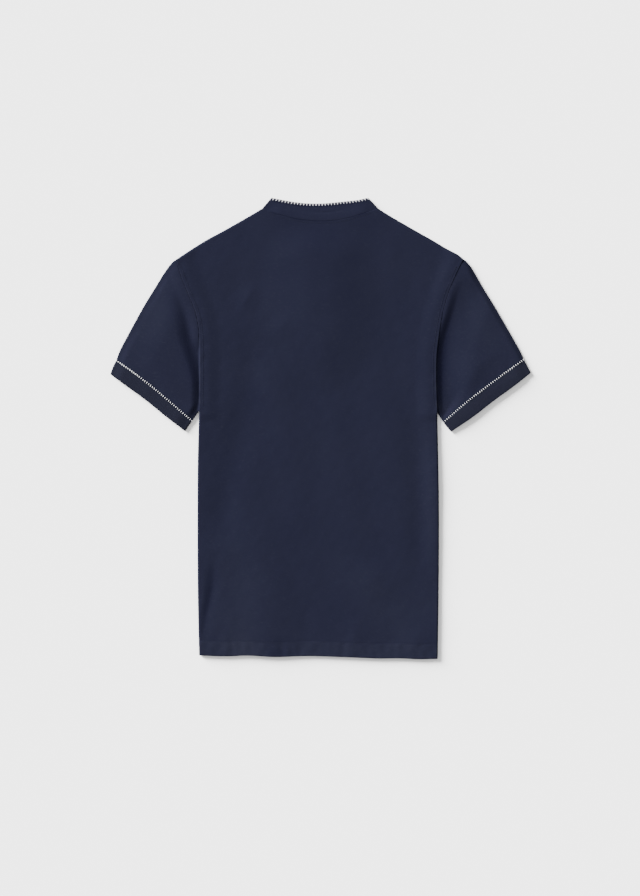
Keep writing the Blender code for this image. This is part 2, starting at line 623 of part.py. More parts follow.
def collar_parts():
    """Points, heights and kind of each column of the collar, from one front end round to the other."""
    turn = np.radians((0.0, 45.0, 90.0))
    bend = COLLAR_FOLD_RADIUS * (1.0 - np.cos(turn))
    shares_up = (0.08, 0.22, 0.58, 0.96, 1.0)
    front_run = np.concatenate((bend, (7.0, 11.0, 18.0, 30.0, 44.0, 60.0, 76.0, 92.0)))
    sides = []
    back_length = float(np.linalg.norm(np.diff(BACK_NECK_LINE, axis=0), axis=1).sum())
    for side in (-1, 1):
        half = len(FRONT_NECK_LINE) // 2
        lower = FRONT_NECK_LINE[:half + 1] if side < 0 else FRONT_NECK_LINE[half:][::-1]
        corner = np.array(COLLAR_TOP[0] if side < 0 else COLLAR_TOP[-1])
        lean = np.radians(np.linspace(0.0, 90.0, 46))
        foot = FRONT_NECK_Y + COLLAR_FRONT_HEIGHT
        upper = np.column_stack((corner[0] * np.cos(lean), corner[1] - (corner[1] - foot) * np.sin(lean)))
        length = float(np.linalg.norm(np.diff(lower, axis=0), axis=1).sum())
        stop = length - COLLAR_END_X
        run = np.append(front_run[front_run < stop - 11.0], stop - np.array(COLLAR_END_STEPS))
        lap, clear = collar_lap(run, FRONT_FOLD_CLEAR)
        rows = collar_half(lower, upper, run, shares_up, lap, clear)
        seat = COLLAR_SEAT * smooth((run - 3.0) / 8.0)
        above = np.array([-1.0, 0.0] + [share * COLLAR_FRONT_HEIGHT for share in shares_up])
        base = seat[None, :] * (1.0 - smooth((above - 1.0) / 5.0))[:, None]
        base[:, 0] = COLLAR_FOLD_RADIUS
        base[:, 1] = COLLAR_FOLD_RADIUS * (1.0 - math.sqrt(0.5))
        from_end = np.clip((stop - run) / COLLAR_CORNER, 0.0, 1.0)
        drop = 0.4 * (1.0 - np.sqrt(1.0 - (1.0 - from_end) ** 2))
        for row in range(2, len(rows)):
            rows[row] -= (rows[row] - rows[1]) * (drop * shares_up[row - 2])[:, None]
        sides.append((rows, base))
    run = np.concatenate((bend[1:], (7.0, 11.0, 18.0, 30.0, 46.0, 62.0, 78.0)))
    run = np.concatenate((run, [back_length / 2], back_length - run[::-1]))
    from_fold = np.minimum(run, back_length - run)
    lap, clear = collar_lap(from_fold, BACK_FOLD_CLEAR)
    rows = collar_half(BACK_NECK_LINE, COLLAR_TOP_LINE, run, shares_up, lap, clear)
    up = np.array([0.0, 0.0] + list(shares_up))[:, None]
    centre = smooth((from_fold - 44.0) / 34.0)[None, :]
    height = (2 * COLLAR_FOLD_RADIUS + (COLLAR_TOP_AT_SEAM - 2 * COLLAR_FOLD_RADIUS)
              * smooth((from_fold - 4.0) / 8.0)[None, :])
    height = height - centre * smooth(up) * (COLLAR_TOP_AT_SEAM - COLLAR_TOP_AT_EDGE)
    height[:, (0, -1)] = COLLAR_FOLD_RADIUS * (1.0 + math.sqrt(0.5))
    return sides, (rows, height)


def add_collar(shade):
    """Collar band: front end, fold at the side neck, back, fold, front end."""
    ((left, left_z), (right, right_z)), (back, back_z) = collar_parts()
    flat = np.concatenate((left[:, ::-1], back, right), axis=1)
    z = np.concatenate((left_z[:, ::-1], back_z, right_z), axis=1)
    outer = np.dstack((flat[:, :, 0], flat[:, :, 1], z))
    inner = outer - normals(outer, False) * BAND
    return add_wall("collar", outer, inner, shade)


def add_strap(name, across, top_y, foot_y, base, shade):
    """Doubled placket strap over the places across, rising over the buttons."""
    u = np.array(across)
    steps = [SLOT_BOTTOM_Y + SEAM_GAP]
    for button_y in sorted(BUTTON_YS):
        steps.extend(button_y + step for step in (-18.5, -14.0, -9.0, -4.5, 0.0, 4.5, 9.0, 14.0, 18.5))
    steps = [step for step in steps if step < top_y - 0.5] + [top_y]
    if foot_y < steps[0]:
        steps.insert(0, foot_y)
    steps = np.array(steps)
    y = steps[:, None] + 0.0 * u[None, :]
    x = u[None, :] + 0.0 * y
    outer = np.dstack((x, y, base + strap_rise(x, y)))
    return add_wall(name, outer, outer + np.array((0.0, 0.0, BAND)), shade, facing=-1)


def add_button(name, y, shade):
    """Button with a raised rim below and four sewing holes cut through."""
    steps = 20
    profile = (
        (0.0, 0.45), (3.9, 0.45), (4.5, 0.0), (5.2, 0.0), (BUTTON_RADIUS, 0.55),
        (BUTTON_RADIUS, 1.5), (5.1, BUTTON_THICK), (0.0, BUTTON_THICK))
    points = [(0.0, y, profile[0][1])]
    for radius, z in profile[1:-1]:
        for step in range(steps):
            turn = 2 * math.pi * step / steps
            points.append((radius * math.cos(turn), y + radius * math.sin(turn), z))
    points.append((0.0, y, profile[-1][1]))
    faces = [(0, 1 + (k + 1) % steps, 1 + k) for k in range(steps)]
    for ring in range(len(profile) - 3):
        base = 1 + ring * steps
        for k in range(steps):
            n = (k + 1) % steps
            faces.append((base + k, base + n, base + steps + n, base + steps + k))
    base = 1 + (len(profile) - 3) * steps
    faces.extend((len(points) - 1, base + k, base + (k + 1) % steps) for k in range(steps))
    made = add_object(name, points, faces, shade)
    for place in range(4):
        turn = math.radians(45 + 90 * place)
        centre_x = BUTTON_HOLE_REACH * math.cos(turn)
        centre_y = y + BUTTON_HOLE_REACH * math.sin(turn)
        cutter = add_hole_cutter(name + "_hole_" + str(place + 1), centre_x, centre_y, shade)
        cut = made.modifiers.new("hole", "BOOLEAN")
        cut.operation = "DIFFERENCE"
        cut.solver = "EXACT"
        cut.object = cutter
    return made


def add_hole_cutter(name, x, y, shade):
    """Upright eight sided prism that cuts one sewing hole."""
    sides = 6
    points = []
    for z in (-1.0, BUTTON_THICK + 1.0):
        for k in range(sides):
            turn = 2 * math.pi * k / sides
            points.append((x + BUTTON_HOLE_RADIUS * math.cos(turn),
                           y + BUTTON_HOLE_RADIUS * math.sin(turn), z))
    faces = [tuple(range(sides))[::-1], tuple(range(sides, 2 * sides))]
    faces.extend((k, (k + 1) % sides, sides + (k + 1) % sides, sides + k) for k in range(sides))
    cutter = add_object(name, points, faces, shade)
    cutter.hide_render = True
    cutter.display_type = "WIRE"
    return cutter


def main():
    """Clear the scene and build every piece."""
    for old in list(bpy.data.objects):
        bpy.data.objects.remove(old, do_unlink=True)
    cloth = material("navy knit", NAVY, 0.85)
    cuff_cloth = material("cuff knit", CUFF_NAVY, 0.88)
    button_stuff = material("button plastic", BUTTON_NAVY, 0.35)
    add_back(cloth)
    add_front(cloth)
    add_sleeve("sleeve_left", -1, LEFT_LINE, LEFT_SLEEVE_TOP, LEFT_SLEEVE_UNDER, LEFT_JOINT,
               left_sleeve_level, cloth)
    add_sleeve("sleeve_right", 1, RIGHT_LINE, RIGHT_SLEEVE_TOP, RIGHT_SLEEVE_UNDER, RIGHT_JOINT,
               right_sleeve_level, cloth)
    add_cuff("cuff_left", -1, LEFT_JOINT, LEFT_CUFF_TOP, LEFT_CUFF_UNDER, LEFT_MOUTH, cuff_cloth)
    add_cuff("cuff_right", 1, RIGHT_JOINT, RIGHT_CUFF_TOP, RIGHT_CUFF_UNDER, RIGHT_MOUTH, cuff_cloth)
    add_collar(cloth)
    half_strap, half_under = STRAP_WIDTH / 2, UNDER_STRAP_WIDTH / 2
    places = (-half_strap, -8.7, -4.5, 0.0, 4.5, 8.7, half_strap)
    add_strap("placket_upper", places, FRONT_NECK_Y - SEAM_GAP, SLOT_BOTTOM_Y + SEAM_GAP,
              0.0, cloth)
    add_strap("placket_under", (-half_under,) + places + (half_under,),
              FRONT_NECK_Y - COLLAR_LAP - 0.8, SLOT_BOTTOM_Y - 6.0, COLLAR_SEAT, cloth)
    for place, y in enumerate(BUTTON_YS):
        add_button("button_" + str(place + 1), y, button_stuff)


main()
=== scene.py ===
"""Looks of a short sleeved knit shirt with a mandarin collar, laid flat with its back up.

Every piece of cloth is a thin wall worked out on the form of its solid: an outer
surface over the piece's outline, moved inward by the cloth. Shapes are worked out
in millimetres, X across the shirt, Y from hem to neck, Z up from the floor.
"""
import math

import bpy
import numpy as np
from bpy.props import FloatProperty, FloatVectorProperty, IntProperty, PointerProperty
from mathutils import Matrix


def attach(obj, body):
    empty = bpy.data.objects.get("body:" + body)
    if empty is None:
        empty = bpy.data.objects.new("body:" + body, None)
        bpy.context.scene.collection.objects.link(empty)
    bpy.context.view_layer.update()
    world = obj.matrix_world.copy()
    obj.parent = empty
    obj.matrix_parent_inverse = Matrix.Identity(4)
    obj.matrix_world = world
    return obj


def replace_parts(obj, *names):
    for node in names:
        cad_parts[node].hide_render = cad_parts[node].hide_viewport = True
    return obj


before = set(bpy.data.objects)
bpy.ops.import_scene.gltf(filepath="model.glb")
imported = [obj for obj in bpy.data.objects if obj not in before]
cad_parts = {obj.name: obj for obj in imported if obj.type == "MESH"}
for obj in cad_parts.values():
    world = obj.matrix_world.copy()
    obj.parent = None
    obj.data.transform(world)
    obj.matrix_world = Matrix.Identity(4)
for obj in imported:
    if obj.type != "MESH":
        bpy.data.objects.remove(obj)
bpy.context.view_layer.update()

bl_info = {
    "name": "Mandarin collar shirt",
    "version": (1, 0, 0),
    "blender": (4, 5, 0),
    "location": "View3D > Sidebar > Shirt",
    "description": "Builds a knit shirt with a mandarin collar, laid flat with its back up",
    "category": "Add Mesh",
}

MM = 0.001
UP = np.array((0.0, 0.0, 1.0))
DOWN = np.array((0.0, 0.0, -1.0))

# Cloth and bands
CLOTH = 1.1
BAND = 1.6
HEM_WALL = 1.9
HEM_DEPTH = 22.5
SEAM_GAP = 0.3
EDGE_ROUND = 0.8
EDGE_KEEPS = 0.3
SEWN_EDGE = 2.2

# Heights above the surface the shirt rests on
SEAM_LEVEL = 2.45
ROLL = 2.4
BACK_LEVEL = 4.7
NECK_LEVEL = 5.0
ARMHOLE_LEVEL = 5.65
BACK_LOWEST = 3.1
BACK_HIGHEST = 6.0
HEM_LEVEL = 4.6

# Where the rolled side seam opens into the armhole, and the shoulder into the neck. The lean
# turns a distance in Y into one across the sloping shoulder.
UNDERARM_SHUT_Y = 18.0
UNDERARM_OPEN_Y = 27.0
SHOULDER_RAMP = 9.0
NECK_RAMP = 8.0
SHOULDER_LEAN = 0.87
FAR = 99.0

# Sleeves and cuffs
SLEEVE_TUCK = 8.0
SLEEVE_SEAT = 1.4
SLEEVE_EDGE = 2.8
SLEEVE_JOINT_EDGE = 3.3
SLEEVE_TUCK_TOP = 4.2
SLEEVE_LENGTH = 199.0
SLEEVE_WIDTH = 195.0
SLEEVE_POINT_GAP = 2.6
CUFF_WIDTH = 152.0
CUFF_POINT_GAP = 2.4
CUFF_EDGE = 3.6
CUFF_LEVEL = 4.7
CUFF_DEPTH = 23.0
CUFF_RIB = 1.3

# Collar
COLLAR_LAP = 5.0
COLLAR_FRONT_HEIGHT = 28.0
COLLAR_FOLD_RADIUS = 1.75
COLLAR_SEAT = 1.9
COLLAR_TOP_AT_SEAM = 4.75
COLLAR_TOP_AT_EDGE = 3.5
COLLAR_END_X = 1.0
COLLAR_CLEAR = 0.4
COLLAR_CORNER = 9.0
COLLAR_UNLAPPED = 11.0
FRONT_FOLD_CLEAR = 0.6
BACK_FOLD_CLEAR = 0.15

# Placket and buttons
STRAP_WIDTH = 28.0
UNDER_STRAP_WIDTH = 36.0
SLOT_BOTTOM_Y = 146.0
FRONT_NECK_Y = 291.0
BUTTON_YS = (266.0, 218.0, 170.0)
BUTTON_LIFT = 2.3
BUTTON_HOLE_REACH = 1.6
BUTTON_THREAD_LEVEL = 0.62
BUTTONHOLE_BAR = (6.3, 7.4)
BUTTONHOLE_BAR_HALF = 1.3

# Rise over a button: level this far from its middle, then a slope; the back rises more gently
RISE_TOP = 8.0
RISE_SLOPE = 10.0
SWELL_SLOPE = 92.0
SWELL_MORE = 0.25

# Stitches: the gap after each topstitch, and how far the lines lie from edges and seams
STITCH_GAP = 0.24
HEM_STITCH_INSET = 4.0
ARMHOLE_INSET = 5.4
ARMHOLE_STITCH_YS = (36.0, 254.0)
NECK_STITCH_DROP = 3.0
STRAP_STITCH_INSET = 2.4
STRAP_STITCH_DROP = 3.0
STRAP_BOX = 12.0
FRONT_NECK_INSET = 4.6
FRONT_STITCH_LIFT = 0.12

# Legs of the collar edging: above the edge, below it, and how much fatter than the thread
LEG_RISE = 0.4
LEG_LENGTH = 3.7
LEG_FATTER = 1.35

# Share of the left joint, from the underarm, past which a cord ties the ladder's bars
CORD_FROM = 0.70

# Floor below the cloth in metres, and the middle of the picture on it
FLOOR_LEVEL = -0.0003
PICTURE_MIDDLE = (-0.0010, -0.0306)

# Outline rows: x, y
LEFT_EDGE = (
    (-190.7, -355.9), (-192.1, -300.0), (-193.3, -143.0), (-192.1, -18.0),
    (-190.7, 22.8), (-189.9, 76.0), (-189.9, 129.5), (-191.8, 162.0),
    (-197.3, 185.5), (-205.6, 206.0), (-216.9, 233.9), (-227.1, 264.5))
RIGHT_EDGE = (
    (183.6, -361.3), (184.9, -269.0), (185.3, -96.6), (183.9, -18.0),
    (183.1, 19.6), (181.4, 76.0), (182.0, 117.0), (186.1, 149.9),
    (191.5, 181.3), (200.3, 212.7), (211.7, 240.2), (223.8, 265.2))
HEM = (
    (-190.7, -355.9), (-151.0, -357.5), (-113.3, -356.2), (-75.6, -358.3),
    (-19.1, -357.0), (37.4, -358.7), (94.0, -360.8), (131.6, -360.8),
    (150.5, -361.9), (183.6, -361.3))
LEFT_SHOULDER = (
    (-227.1, 264.5), (-219.4, 270.0), (-200.3, 282.6), (-180.0, 295.2),
    (-151.1, 310.9), (-118.0, 329.7), (-92.1, 344.8))
RIGHT_SHOULDER = (
    (90.5, 344.8), (115.5, 329.7), (148.0, 310.9), (175.8, 295.2),
    (196.8, 282.6), (218.9, 270.0), (223.8, 265.2))
BACK_NECK = (
    (-92.1, 344.8), (-70.1, 337.1), (-48.1, 330.5), (-24.6, 326.4),
    (-1.0, 324.8), (22.5, 326.1), (46.1, 330.5), (64.9, 336.4), (90.5, 344.8))
COLLAR_TOP = (
    (-77.2, 362.1), (-56.8, 358.0), (-37.9, 354.9), (-19.1, 353.2),
    (-0.2, 353.0), (18.6, 354.3), (37.4, 356.3), (56.3, 358.2), (74.8, 362.1))

# Sleeve rows: x, y
LEFT_SLEEVE_TOP = (
    (-217.9, 263.9), (-227.2, 264.1), (-234.8, 257.4), (-244.1, 244.9),
    (-259.9, 219.8), (-275.5, 194.7), (-289.7, 169.6), (-303.4, 144.4),
    (-316.4, 119.3), (-320.8, 107.1))
LEFT_SLEEVE_UNDER = ((-183.0, 35.0), (-190.7, 27.5), (-201.4, 11.8))
LEFT_JOINT = (
    (-320.8, 107.1), (-291.5, 86.4), (-260.1, 62.0), (-228.7, 35.3), (-201.4, 11.8))
LEFT_CUFF_TOP = ((-320.8, 107.1), (-327.0, 94.2), (-330.1, 85.1))
LEFT_CUFF_UNDER = ((-201.4, 11.8), (-207.5, 3.5), (-212.8, -4.2))
LEFT_MOUTH = (
    (-330.1, 85.1), (-308.4, 69.1), (-274.0, 44.0), (-243.0, 18.8), (-212.8, -4.2))
RIGHT_SLEEVE_TOP = (
    (214.6, 264.6), (223.9, 264.8), (232.1, 257.4), (240.1, 244.9),
    (254.9, 219.8), (270.4, 194.7), (285.3, 169.6), (299.8, 144.4),
    (313.8, 119.3), (318.8, 108.4))
RIGHT_SLEEVE_UNDER = ((175.4, 33.0), (183.1, 25.0), (192.4, 9.4))
RIGHT_JOINT = (
    (318.8, 108.4), (289.4, 87.1), (258.0, 63.6), (226.6, 39.2), (192.4, 9.4))
RIGHT_CUFF_TOP = ((318.8, 108.4), (326.3, 94.2), (329.9, 87.4))
RIGHT_CUFF_UNDER = ((192.4, 9.4), (198.5, 2.0), (204.6, -5.2))
RIGHT_MOUTH = (
    (329.9, 87.4), (306.9, 69.1), (272.5, 44.0), (240.0, 18.8), (204.6, -5.2))

# Fold rows along each crest or trough: x, y, half width, height
BACK_FOLDS = (
    ((-98, 150, 22, 0.0), (-112, 70, 26, -0.9), (-132, -30, 28, -1.1),
     (-154, -135, 24, -0.8), (-160, -190, 20, 0.0)),
    ((-70, -120, 40, 0.0), (-84, -200, 42, 0.7), (-86, -290, 36, 1.1), (-84, -356, 34, 1.2)),
    ((-167, -190, 9, 0.0), (-168, -240, 9, -0.5), (-174, -280, 9, -0.5), (-184, -330, 7, -0.2)),
    ((176, 30, 14, 0.0), (178, -60, 16, 0.9), (178, -170, 16, 0.8), (176, -240, 16, 0.0)),
    ((150, 40, 16, 0.0), (154, -60, 18, -0.7), (156, -200, 18, -0.6), (150, -260, 18, 0.0)),
    ((30, -210, 26, 0.0), (84, -236, 28, 0.8), (120, -262, 26, 0.0)),
    ((-70, 176, 18, 0.0), (-58, 164, 20, 0.7), (-40, 146, 18, 0.0)),
    ((-130, 220, 18, 0.0), (-114, 205, 20, 0.7), (-96, 196, 18, 0.0)),
    ((60, -330, 26, 0.4), (110, -336, 22, -0.5), (150, -336, 20, 0.5)))

# Creases too fine for the solids, in the same columns
BACK_CREASES = (
    ((-167, -200, 4, 0.0), (-171, -250, 3.6, -0.16), (-179, -290, 3.2, -0.2),
     (-186, -322, 3, -0.1)),
    ((-180, -215, 5, 0.0), (-183, -255, 4.5, 0.22), (-188, -290, 3.5, 0.15)),
    ((-196, 226, 6, 0.0), (-190, 205, 6, 0.25), (-182, 170, 6, 0.0)),
    ((-30, -348, 9, -0.25), (-22, -300, 12, -0.2), (-12, -250, 12, 0.0)),
    ((48, -352, 8, 0.25), (52, -320, 10, 0.15), (60, -290, 10, 0.0)),
    ((-150, -350, 8, 0.3), (-146, -320, 10, 0.2), (-138, -280, 12, 0.0)),
    ((120, 300, 10, 0.0), (108, 268, 12, 0.22), (92, 232, 12, 0.0)),
    ((150, 262, 12, 0.0), (142, 214, 14, -0.25), (146, 168, 12, 0.0)))
LEFT_SLEEVE_CREASES = (
    ((-232, 236, 5, 0.0), (-219, 196, 6, -0.3), (-207, 150, 6, -0.35), (-199, 92, 6, 0.0)),
    ((-286, 120, 9, 0.0), (-268, 104, 9, 0.25), (-246, 82, 9, 0.0)))
RIGHT_SLEEVE_CREASES = (
    ((232, 232, 6, 0.0), (240, 196, 8, 0.2), (250, 160, 8, 0.0)),
    ((288, 118, 9, 0.0), (262, 108, 9, 0.2), (238, 90, 9, 0.0)))

# Painted light and shade over folds, creases and the sleeves' valleys, lighter or darker:
# x, y, half width, share of the colour
BACK_PAINTED_SHADING = (
    ((-150, -165, 44, 0.0), (-132, -235, 62, 0.10), (-118, -330, 66, 0.15)),
    ((150, -230, 40, 0.0), (120, -290, 52, 0.09), (112, -345, 56, 0.10)),
    ((-84, 236, 34, 0.0), (-84, 186, 40, 0.05), (-60, 130, 34, 0.0)),
    ((14, 300, 34, -0.03), (10, 210, 40, -0.04), (0, 120, 40, 0.0)),
    ((-110, 70, 30, 0.0), (-128, 10, 32, -0.04), (-140, -70, 30, -0.04), (-146, -120, 26, 0.0)),
    ((178, -20, 9, 0.0), (177, -110, 9, 0.10), (177, -220, 9, 0.09), (176, -330, 12, 0.0)),
    ((-72, -322, 16, 0.0), (-72, -352, 18, -0.26)),
    ((-30, -352, 16, 0.0), (10, -350, 20, 0.08), (70, -350, 22, 0.07)),
    ((-150, -318, 18, 0.0), (-136, -330, 20, 0.11), (-128, -348, 18, 0.06)),
    ((66, -236, 24, 0.10), (84, -250, 26, 0.10)),
    ((-169, -196, 9, 0.0), (-171, -240, 8, -0.16), (-176, -266, 6, -0.20), (-182, -298, 4, -0.18),
     (-186, -322, 3, -0.08)),
    ((-60, 322, 30, -0.10), (0, 306, 44, -0.12), (60, 322, 30, -0.10)),
    ((-190, 276, 26, -0.04), (-130, 296, 30, -0.09)),
    ((190, 276, 26, -0.03), (130, 296, 30, -0.06)),
    ((-118, 84, 20, 0.0), (-104, 46, 22, -0.13), (-112, 0, 22, 0.0)),
    ((-152, -110, 20, 0.0), (-156, -140, 20, -0.06), (-150, -170, 20, 0.0)))
LEFT_SLEEVE_PAINTED_SHADING = (
    ((-242, 228, 10, -0.05), (-229, 192, 14, -0.14), (-216, 158, 15, -0.17), (-206, 124, 14, -0.24),
     (-199, 92, 12, -0.28), (-194, 60, 10, -0.22), (-192, 36, 8, -0.10)),
    ((-252, 206, 26, 0.03), (-278, 150, 34, 0.07), (-296, 112, 30, 0.06)))
RIGHT_SLEEVE_PAINTED_SHADING = (
    ((212, 222, 5, 0.0), (206, 192, 7, -0.12), (199, 162, 8, -0.20), (191, 122, 8, -0.29),
     (188, 80, 6, -0.37), (187, 44, 5, -0.24)),
    ((240, 200, 24, 0.06), (268, 140, 34, 0.09), (280, 112, 30, 0.07)))

# Distances in millimetres at which an edge needs its points
EDGE_RUN = (0.0, 0.2, 0.45, 0.8, 1.3, 1.9, 2.6, 3.6, 5.0, 6.8)
BODY_WIDTH = 380.0
BODY_HEIGHT = 640.0

# Distances up the panels, in the same measure as BODY_HEIGHT, with closer points: from, to, gap
UNDERARM_POINTS = (17.0, 26.0, 0.9)
FINE_HEM_POINTS = (366.0, 392.0, 1.6)
FRONT_HEM_POINTS = (366.0, 392.0, 1.8)


def colour_property(name, text, default):
    """Property for a colour, as three shares of light."""
    return FloatVectorProperty(name=name, description=text, subtype="COLOR", size=3, min=0.0,
                               max=1.0, default=default)


def length_property(name, text, default, low, high):
    """Property for a length in metres."""
    return FloatProperty(name=name, description=text, unit="LENGTH", min=low, max=high,
                         default=default)


def angle_property(name, text, default, high):
    """Property for an angle, its default and highest value given in degrees."""
    return FloatProperty(name=name, description=text, subtype="ANGLE", min=0.0,
                         max=math.radians(high), default=math.radians(default))


class ShirtCloth(bpy.types.PropertyGroup):
    """Sizes and colours of the knit."""

    navy: colour_property("Navy", "Colour of the body knit", (0.0050, 0.0053, 0.0116))
    cuff_navy: colour_property("Cuff navy", "Colour of the cuff knit", (0.0055, 0.0058, 0.0108))
    knit_pitch: length_property(
        "Knit pitch", "Distance between two cells of the pique knit", 0.0015, 0.0005, 0.005)
    point_gap: length_property(
        "Point gap", "Distance between two points of the back panel's mesh", 0.0027, 0.002, 0.02)
    uneven: length_property(
        "Unevenness", "Height of the broad waves in cloth smoothed by hand", 0.00028, 0.0, 0.001)
    pucker: length_property(
        "Pucker", "Height of the small waves that stitching draws into a seam", 0.00014, 0.0, 0.001)


class ShirtStitching(bpy.types.PropertyGroup):
    """Sizes and colours of the sewing."""

    white: colour_property(
        "White thread", "Colour of the edging and ladder stitch", (0.47, 0.47, 0.48))
    navy: colour_property("Navy thread", "Colour of the topstitching", (0.0072, 0.0077, 0.0150))
    edging_pitch: length_property(
        "Edging pitch", "Distance between two legs of the collar edging", 0.00472, 0.001, 0.02)
    ladder_pitch: length_property(
        "Ladder pitch", "Distance between two bars of the cuff ladder stitch", 0.0037, 0.001, 0.02)
    topstitch: length_property(
        "Topstitch", "Length of one topstitch with its gap", 0.0032, 0.001, 0.02)
    edging_thread: length_property(
        "Edging thread", "Radius of the white thread", 0.00042, 0.0001, 0.002)
    top_thread: length_property(
        "Topstitch thread", "Radius of the navy thread", 0.00024, 0.0001, 0.002)


class ShirtStage(bpy.types.PropertyGroup):
    """Floor, lights and camera."""

    floor: colour_property("Floor", "Colour of the floor", (0.93, 0.93, 0.93))
    floor_width: length_property("Floor width", "Side of the square floor", 14.0, 2.0, 40.0)
    key_strength: FloatProperty(
        name="Key light", description="Strength of the soft light from the upper left",
        min=0.0, max=80.0, default=40.0)
    key_turn: angle_property(
        "Key turn", "Angle of the key light from the left towards the neck", 38.0, 90.0)
    key_rise: angle_property("Key rise", "Angle of the key light above the floor", 15.5, 90.0)
    key_spread: angle_property(
        "Key spread", "Angle over which the key light is spread", 32.0, 180.0)
    room_strength: FloatProperty(
        name="Room light", description="Strength of the even light of the room",
        min=0.0, max=10.0, default=1.0)
    frame_width: length_property(
        "Frame width", "Width of what the camera sees on the floor", 1.0048, 0.2, 5.0)
    camera_height: length_property(
        "Camera height", "Height of the camera over the floor", 3.2, 0.5, 20.0)
    picture_width: IntProperty(
        name="Picture width", description="Width of the picture in pixels", default=640)
    picture_height: IntProperty(
        name="Picture height", description="Height of the picture in pixels", default=896)


def smooth(t):
    """Ramp from 0 to 1 as t runs from 0 to 1: three t squared less two t cubed."""
    t = np.clip(t, 0.0, 1.0)
    return t * t * (3.0 - 2.0 * t)


def quarter_round(distance, radius):
    """Height share of a quarter round at a distance inward from its edge."""
    share = np.clip(distance / radius, 0.0, 1.0)
    return np.sqrt(1.0 - (1.0 - share) ** 2)


def bell(distance, width):
    """Bell curve that is 1 at no distance: e to the minus squared share of the width."""
    return np.exp(-(distance / width) ** 2)


def run_along(points):
    """Length run along a row of points, up to each of them."""
    steps = np.linalg.norm(np.diff(points, axis=0), axis=1)
    return np.concatenate(([0.0], np.cumsum(steps)))


def lengths(points):
    """Length run along a row of points, from 0 to 1."""
    run = run_along(points)
    return run / run[-1]


def between(line, run, places):
    """Points of a line at places along its run, straight from one point to the next."""
    return np.column_stack([np.interp(places, run, line[:, k]) for k in range(line.shape[1])])


def path(rows, shares):
    """Points at shares of the length of a cubic curve through the rows."""
    knots = np.array(rows, dtype=float)
    run = lengths(knots)
    slope = np.gradient(knots, run, axis=0, edge_order=1)
    shares = np.clip(np.asarray(shares, dtype=float), 0.0, 1.0)
    span = np.clip(np.searchsorted(run, shares, side="right") - 1, 0, len(run) - 2)
    width = (run[span + 1] - run[span])[:, None]
    t = ((shares - run[span])[:, None]) / width
    start, end = knots[span], knots[span + 1]
    lead, trail = slope[span] * width, slope[span + 1] * width
    return (start * (2 * t ** 3 - 3 * t ** 2 + 1) + lead * (t ** 3 - 2 * t ** 2 + t)
            + end * (3 * t ** 2 - 2 * t ** 3) + trail * (t ** 3 - t ** 2))


def dense(*tables):
    """One fine run of points through several tables that meet end to end."""
    pieces = [path(rows, np.linspace(0.0, 1.0, 121)) for rows in tables]
    return np.concatenate([pieces[0]] + [piece[1:] for piece in pieces[1:]])


def y_at(line, x):
    """Height in Y of a line that runs along X."""
    return np.interp(x, line[:, 0], line[:, 1])


def x_at(line, y):
    """Place in X of a line that runs along Y."""
    return np.interp(y, line[:, 1], line[:, 0])


def coons(bottom, top, left, right, u, v, reach=None):
    """Patch over four curves: straight from bottom to top, plus the bow of each side.

    A side's bow fades evenly to the other side, or smoothly to none at the share reach.
    """
    u = u[None, :, None]
    v = v[:, None, None]
    patch = (1 - v) * bottom[None] + v * top[None]
    for side, corner, share in ((left, 0, u), (right, -1, 1 - u)):
        bow = side[:, None] - (1 - v) * bottom[corner] - v * top[corner]
        patch = patch + bow * (1 - share if reach is None else 1 - smooth(share / reach))
    return patch


def fold_height(x, y, folds):
    """Sum of crests and troughs, each a bell across the nearest point of its rows."""
    total = np.zeros_like(x)
    for rows in folds:
        knots = np.array(rows, dtype=float)
        nearest = np.full_like(x, 1e9)
        added = np.zeros_like(x)
        for (xa, ya, wa, ha), (xb, yb, wb, hb) in zip(knots[:-1], knots[1:]):
            dx, dy = xb - xa, yb - ya
            along = np.clip(((x - xa) * dx + (y - ya) * dy) / (dx ** 2 + dy ** 2), 0.0, 1.0)
            away = np.hypot(x - xa - along * dx, y - ya - along * dy)
            height = (ha + along * (hb - ha)) * bell(away, wa + along * (wb - wa))
            closer = away < nearest
            nearest = np.where(closer, away, nearest)
            added = np.where(closer, height, added)
        total += added
    return total


def uneven(x, y, shortest, longest, seed):
    """Broad waves, mostly from -1 to 1: a quarter of the sum of nine seeded sines."""
    chance = np.random.default_rng(seed)
    total = np.zeros_like(x)
    for _ in range(9):
        heading = chance.uniform(0.0, math.pi)
        wave = 2.0 * math.pi / chance.uniform(shortest, longest)
        start = chance.uniform(0.0, 2.0 * math.pi)
        total += np.sin(wave * (x * math.cos(heading) + y * math.sin(heading)) + start)
    return total / 4.0


def strap_rise(x, y):
    """Rise of the placket and the front panel over each button, sloping down to none."""
    rise = np.zeros_like(x)
    for button_y in BUTTON_YS:
        away = np.hypot(x, y - button_y)
        rise = np.maximum(rise, BUTTON_LIFT * (1.0 - smooth((away - RISE_TOP) / RISE_SLOPE)))
    return rise


def placket_swell(x, y):
    """Long low swell of the back over the row of buttons, shorter towards the neck."""
    above = np.maximum(y - BUTTON_YS[0], 0.0) * 1.5
    below = np.maximum(BUTTON_YS[-1] - y, 0.0) * 0.8
    away = np.hypot(x, above + below)
    return (BUTTON_LIFT + SWELL_MORE) * (1.0 - smooth((away - RISE_TOP) / SWELL_SLOPE))


LEFT_LINE = dense(LEFT_EDGE)
RIGHT_LINE = dense(RIGHT_EDGE)
HEM_LINE = dense(HEM)
BACK_TOP_LINE = dense(LEFT_SHOULDER, BACK_NECK, RIGHT_SHOULDER)
BACK_NECK_LINE = dense(BACK_NECK)
COLLAR_TOP_LINE = dense(COLLAR_TOP)
TIP_LEFT, TIP_RIGHT = LEFT_EDGE[-1], RIGHT_EDGE[-1]
SIDE_NECK_LEFT, SIDE_NECK_RIGHT = BACK_NECK[0], BACK_NECK[-1]


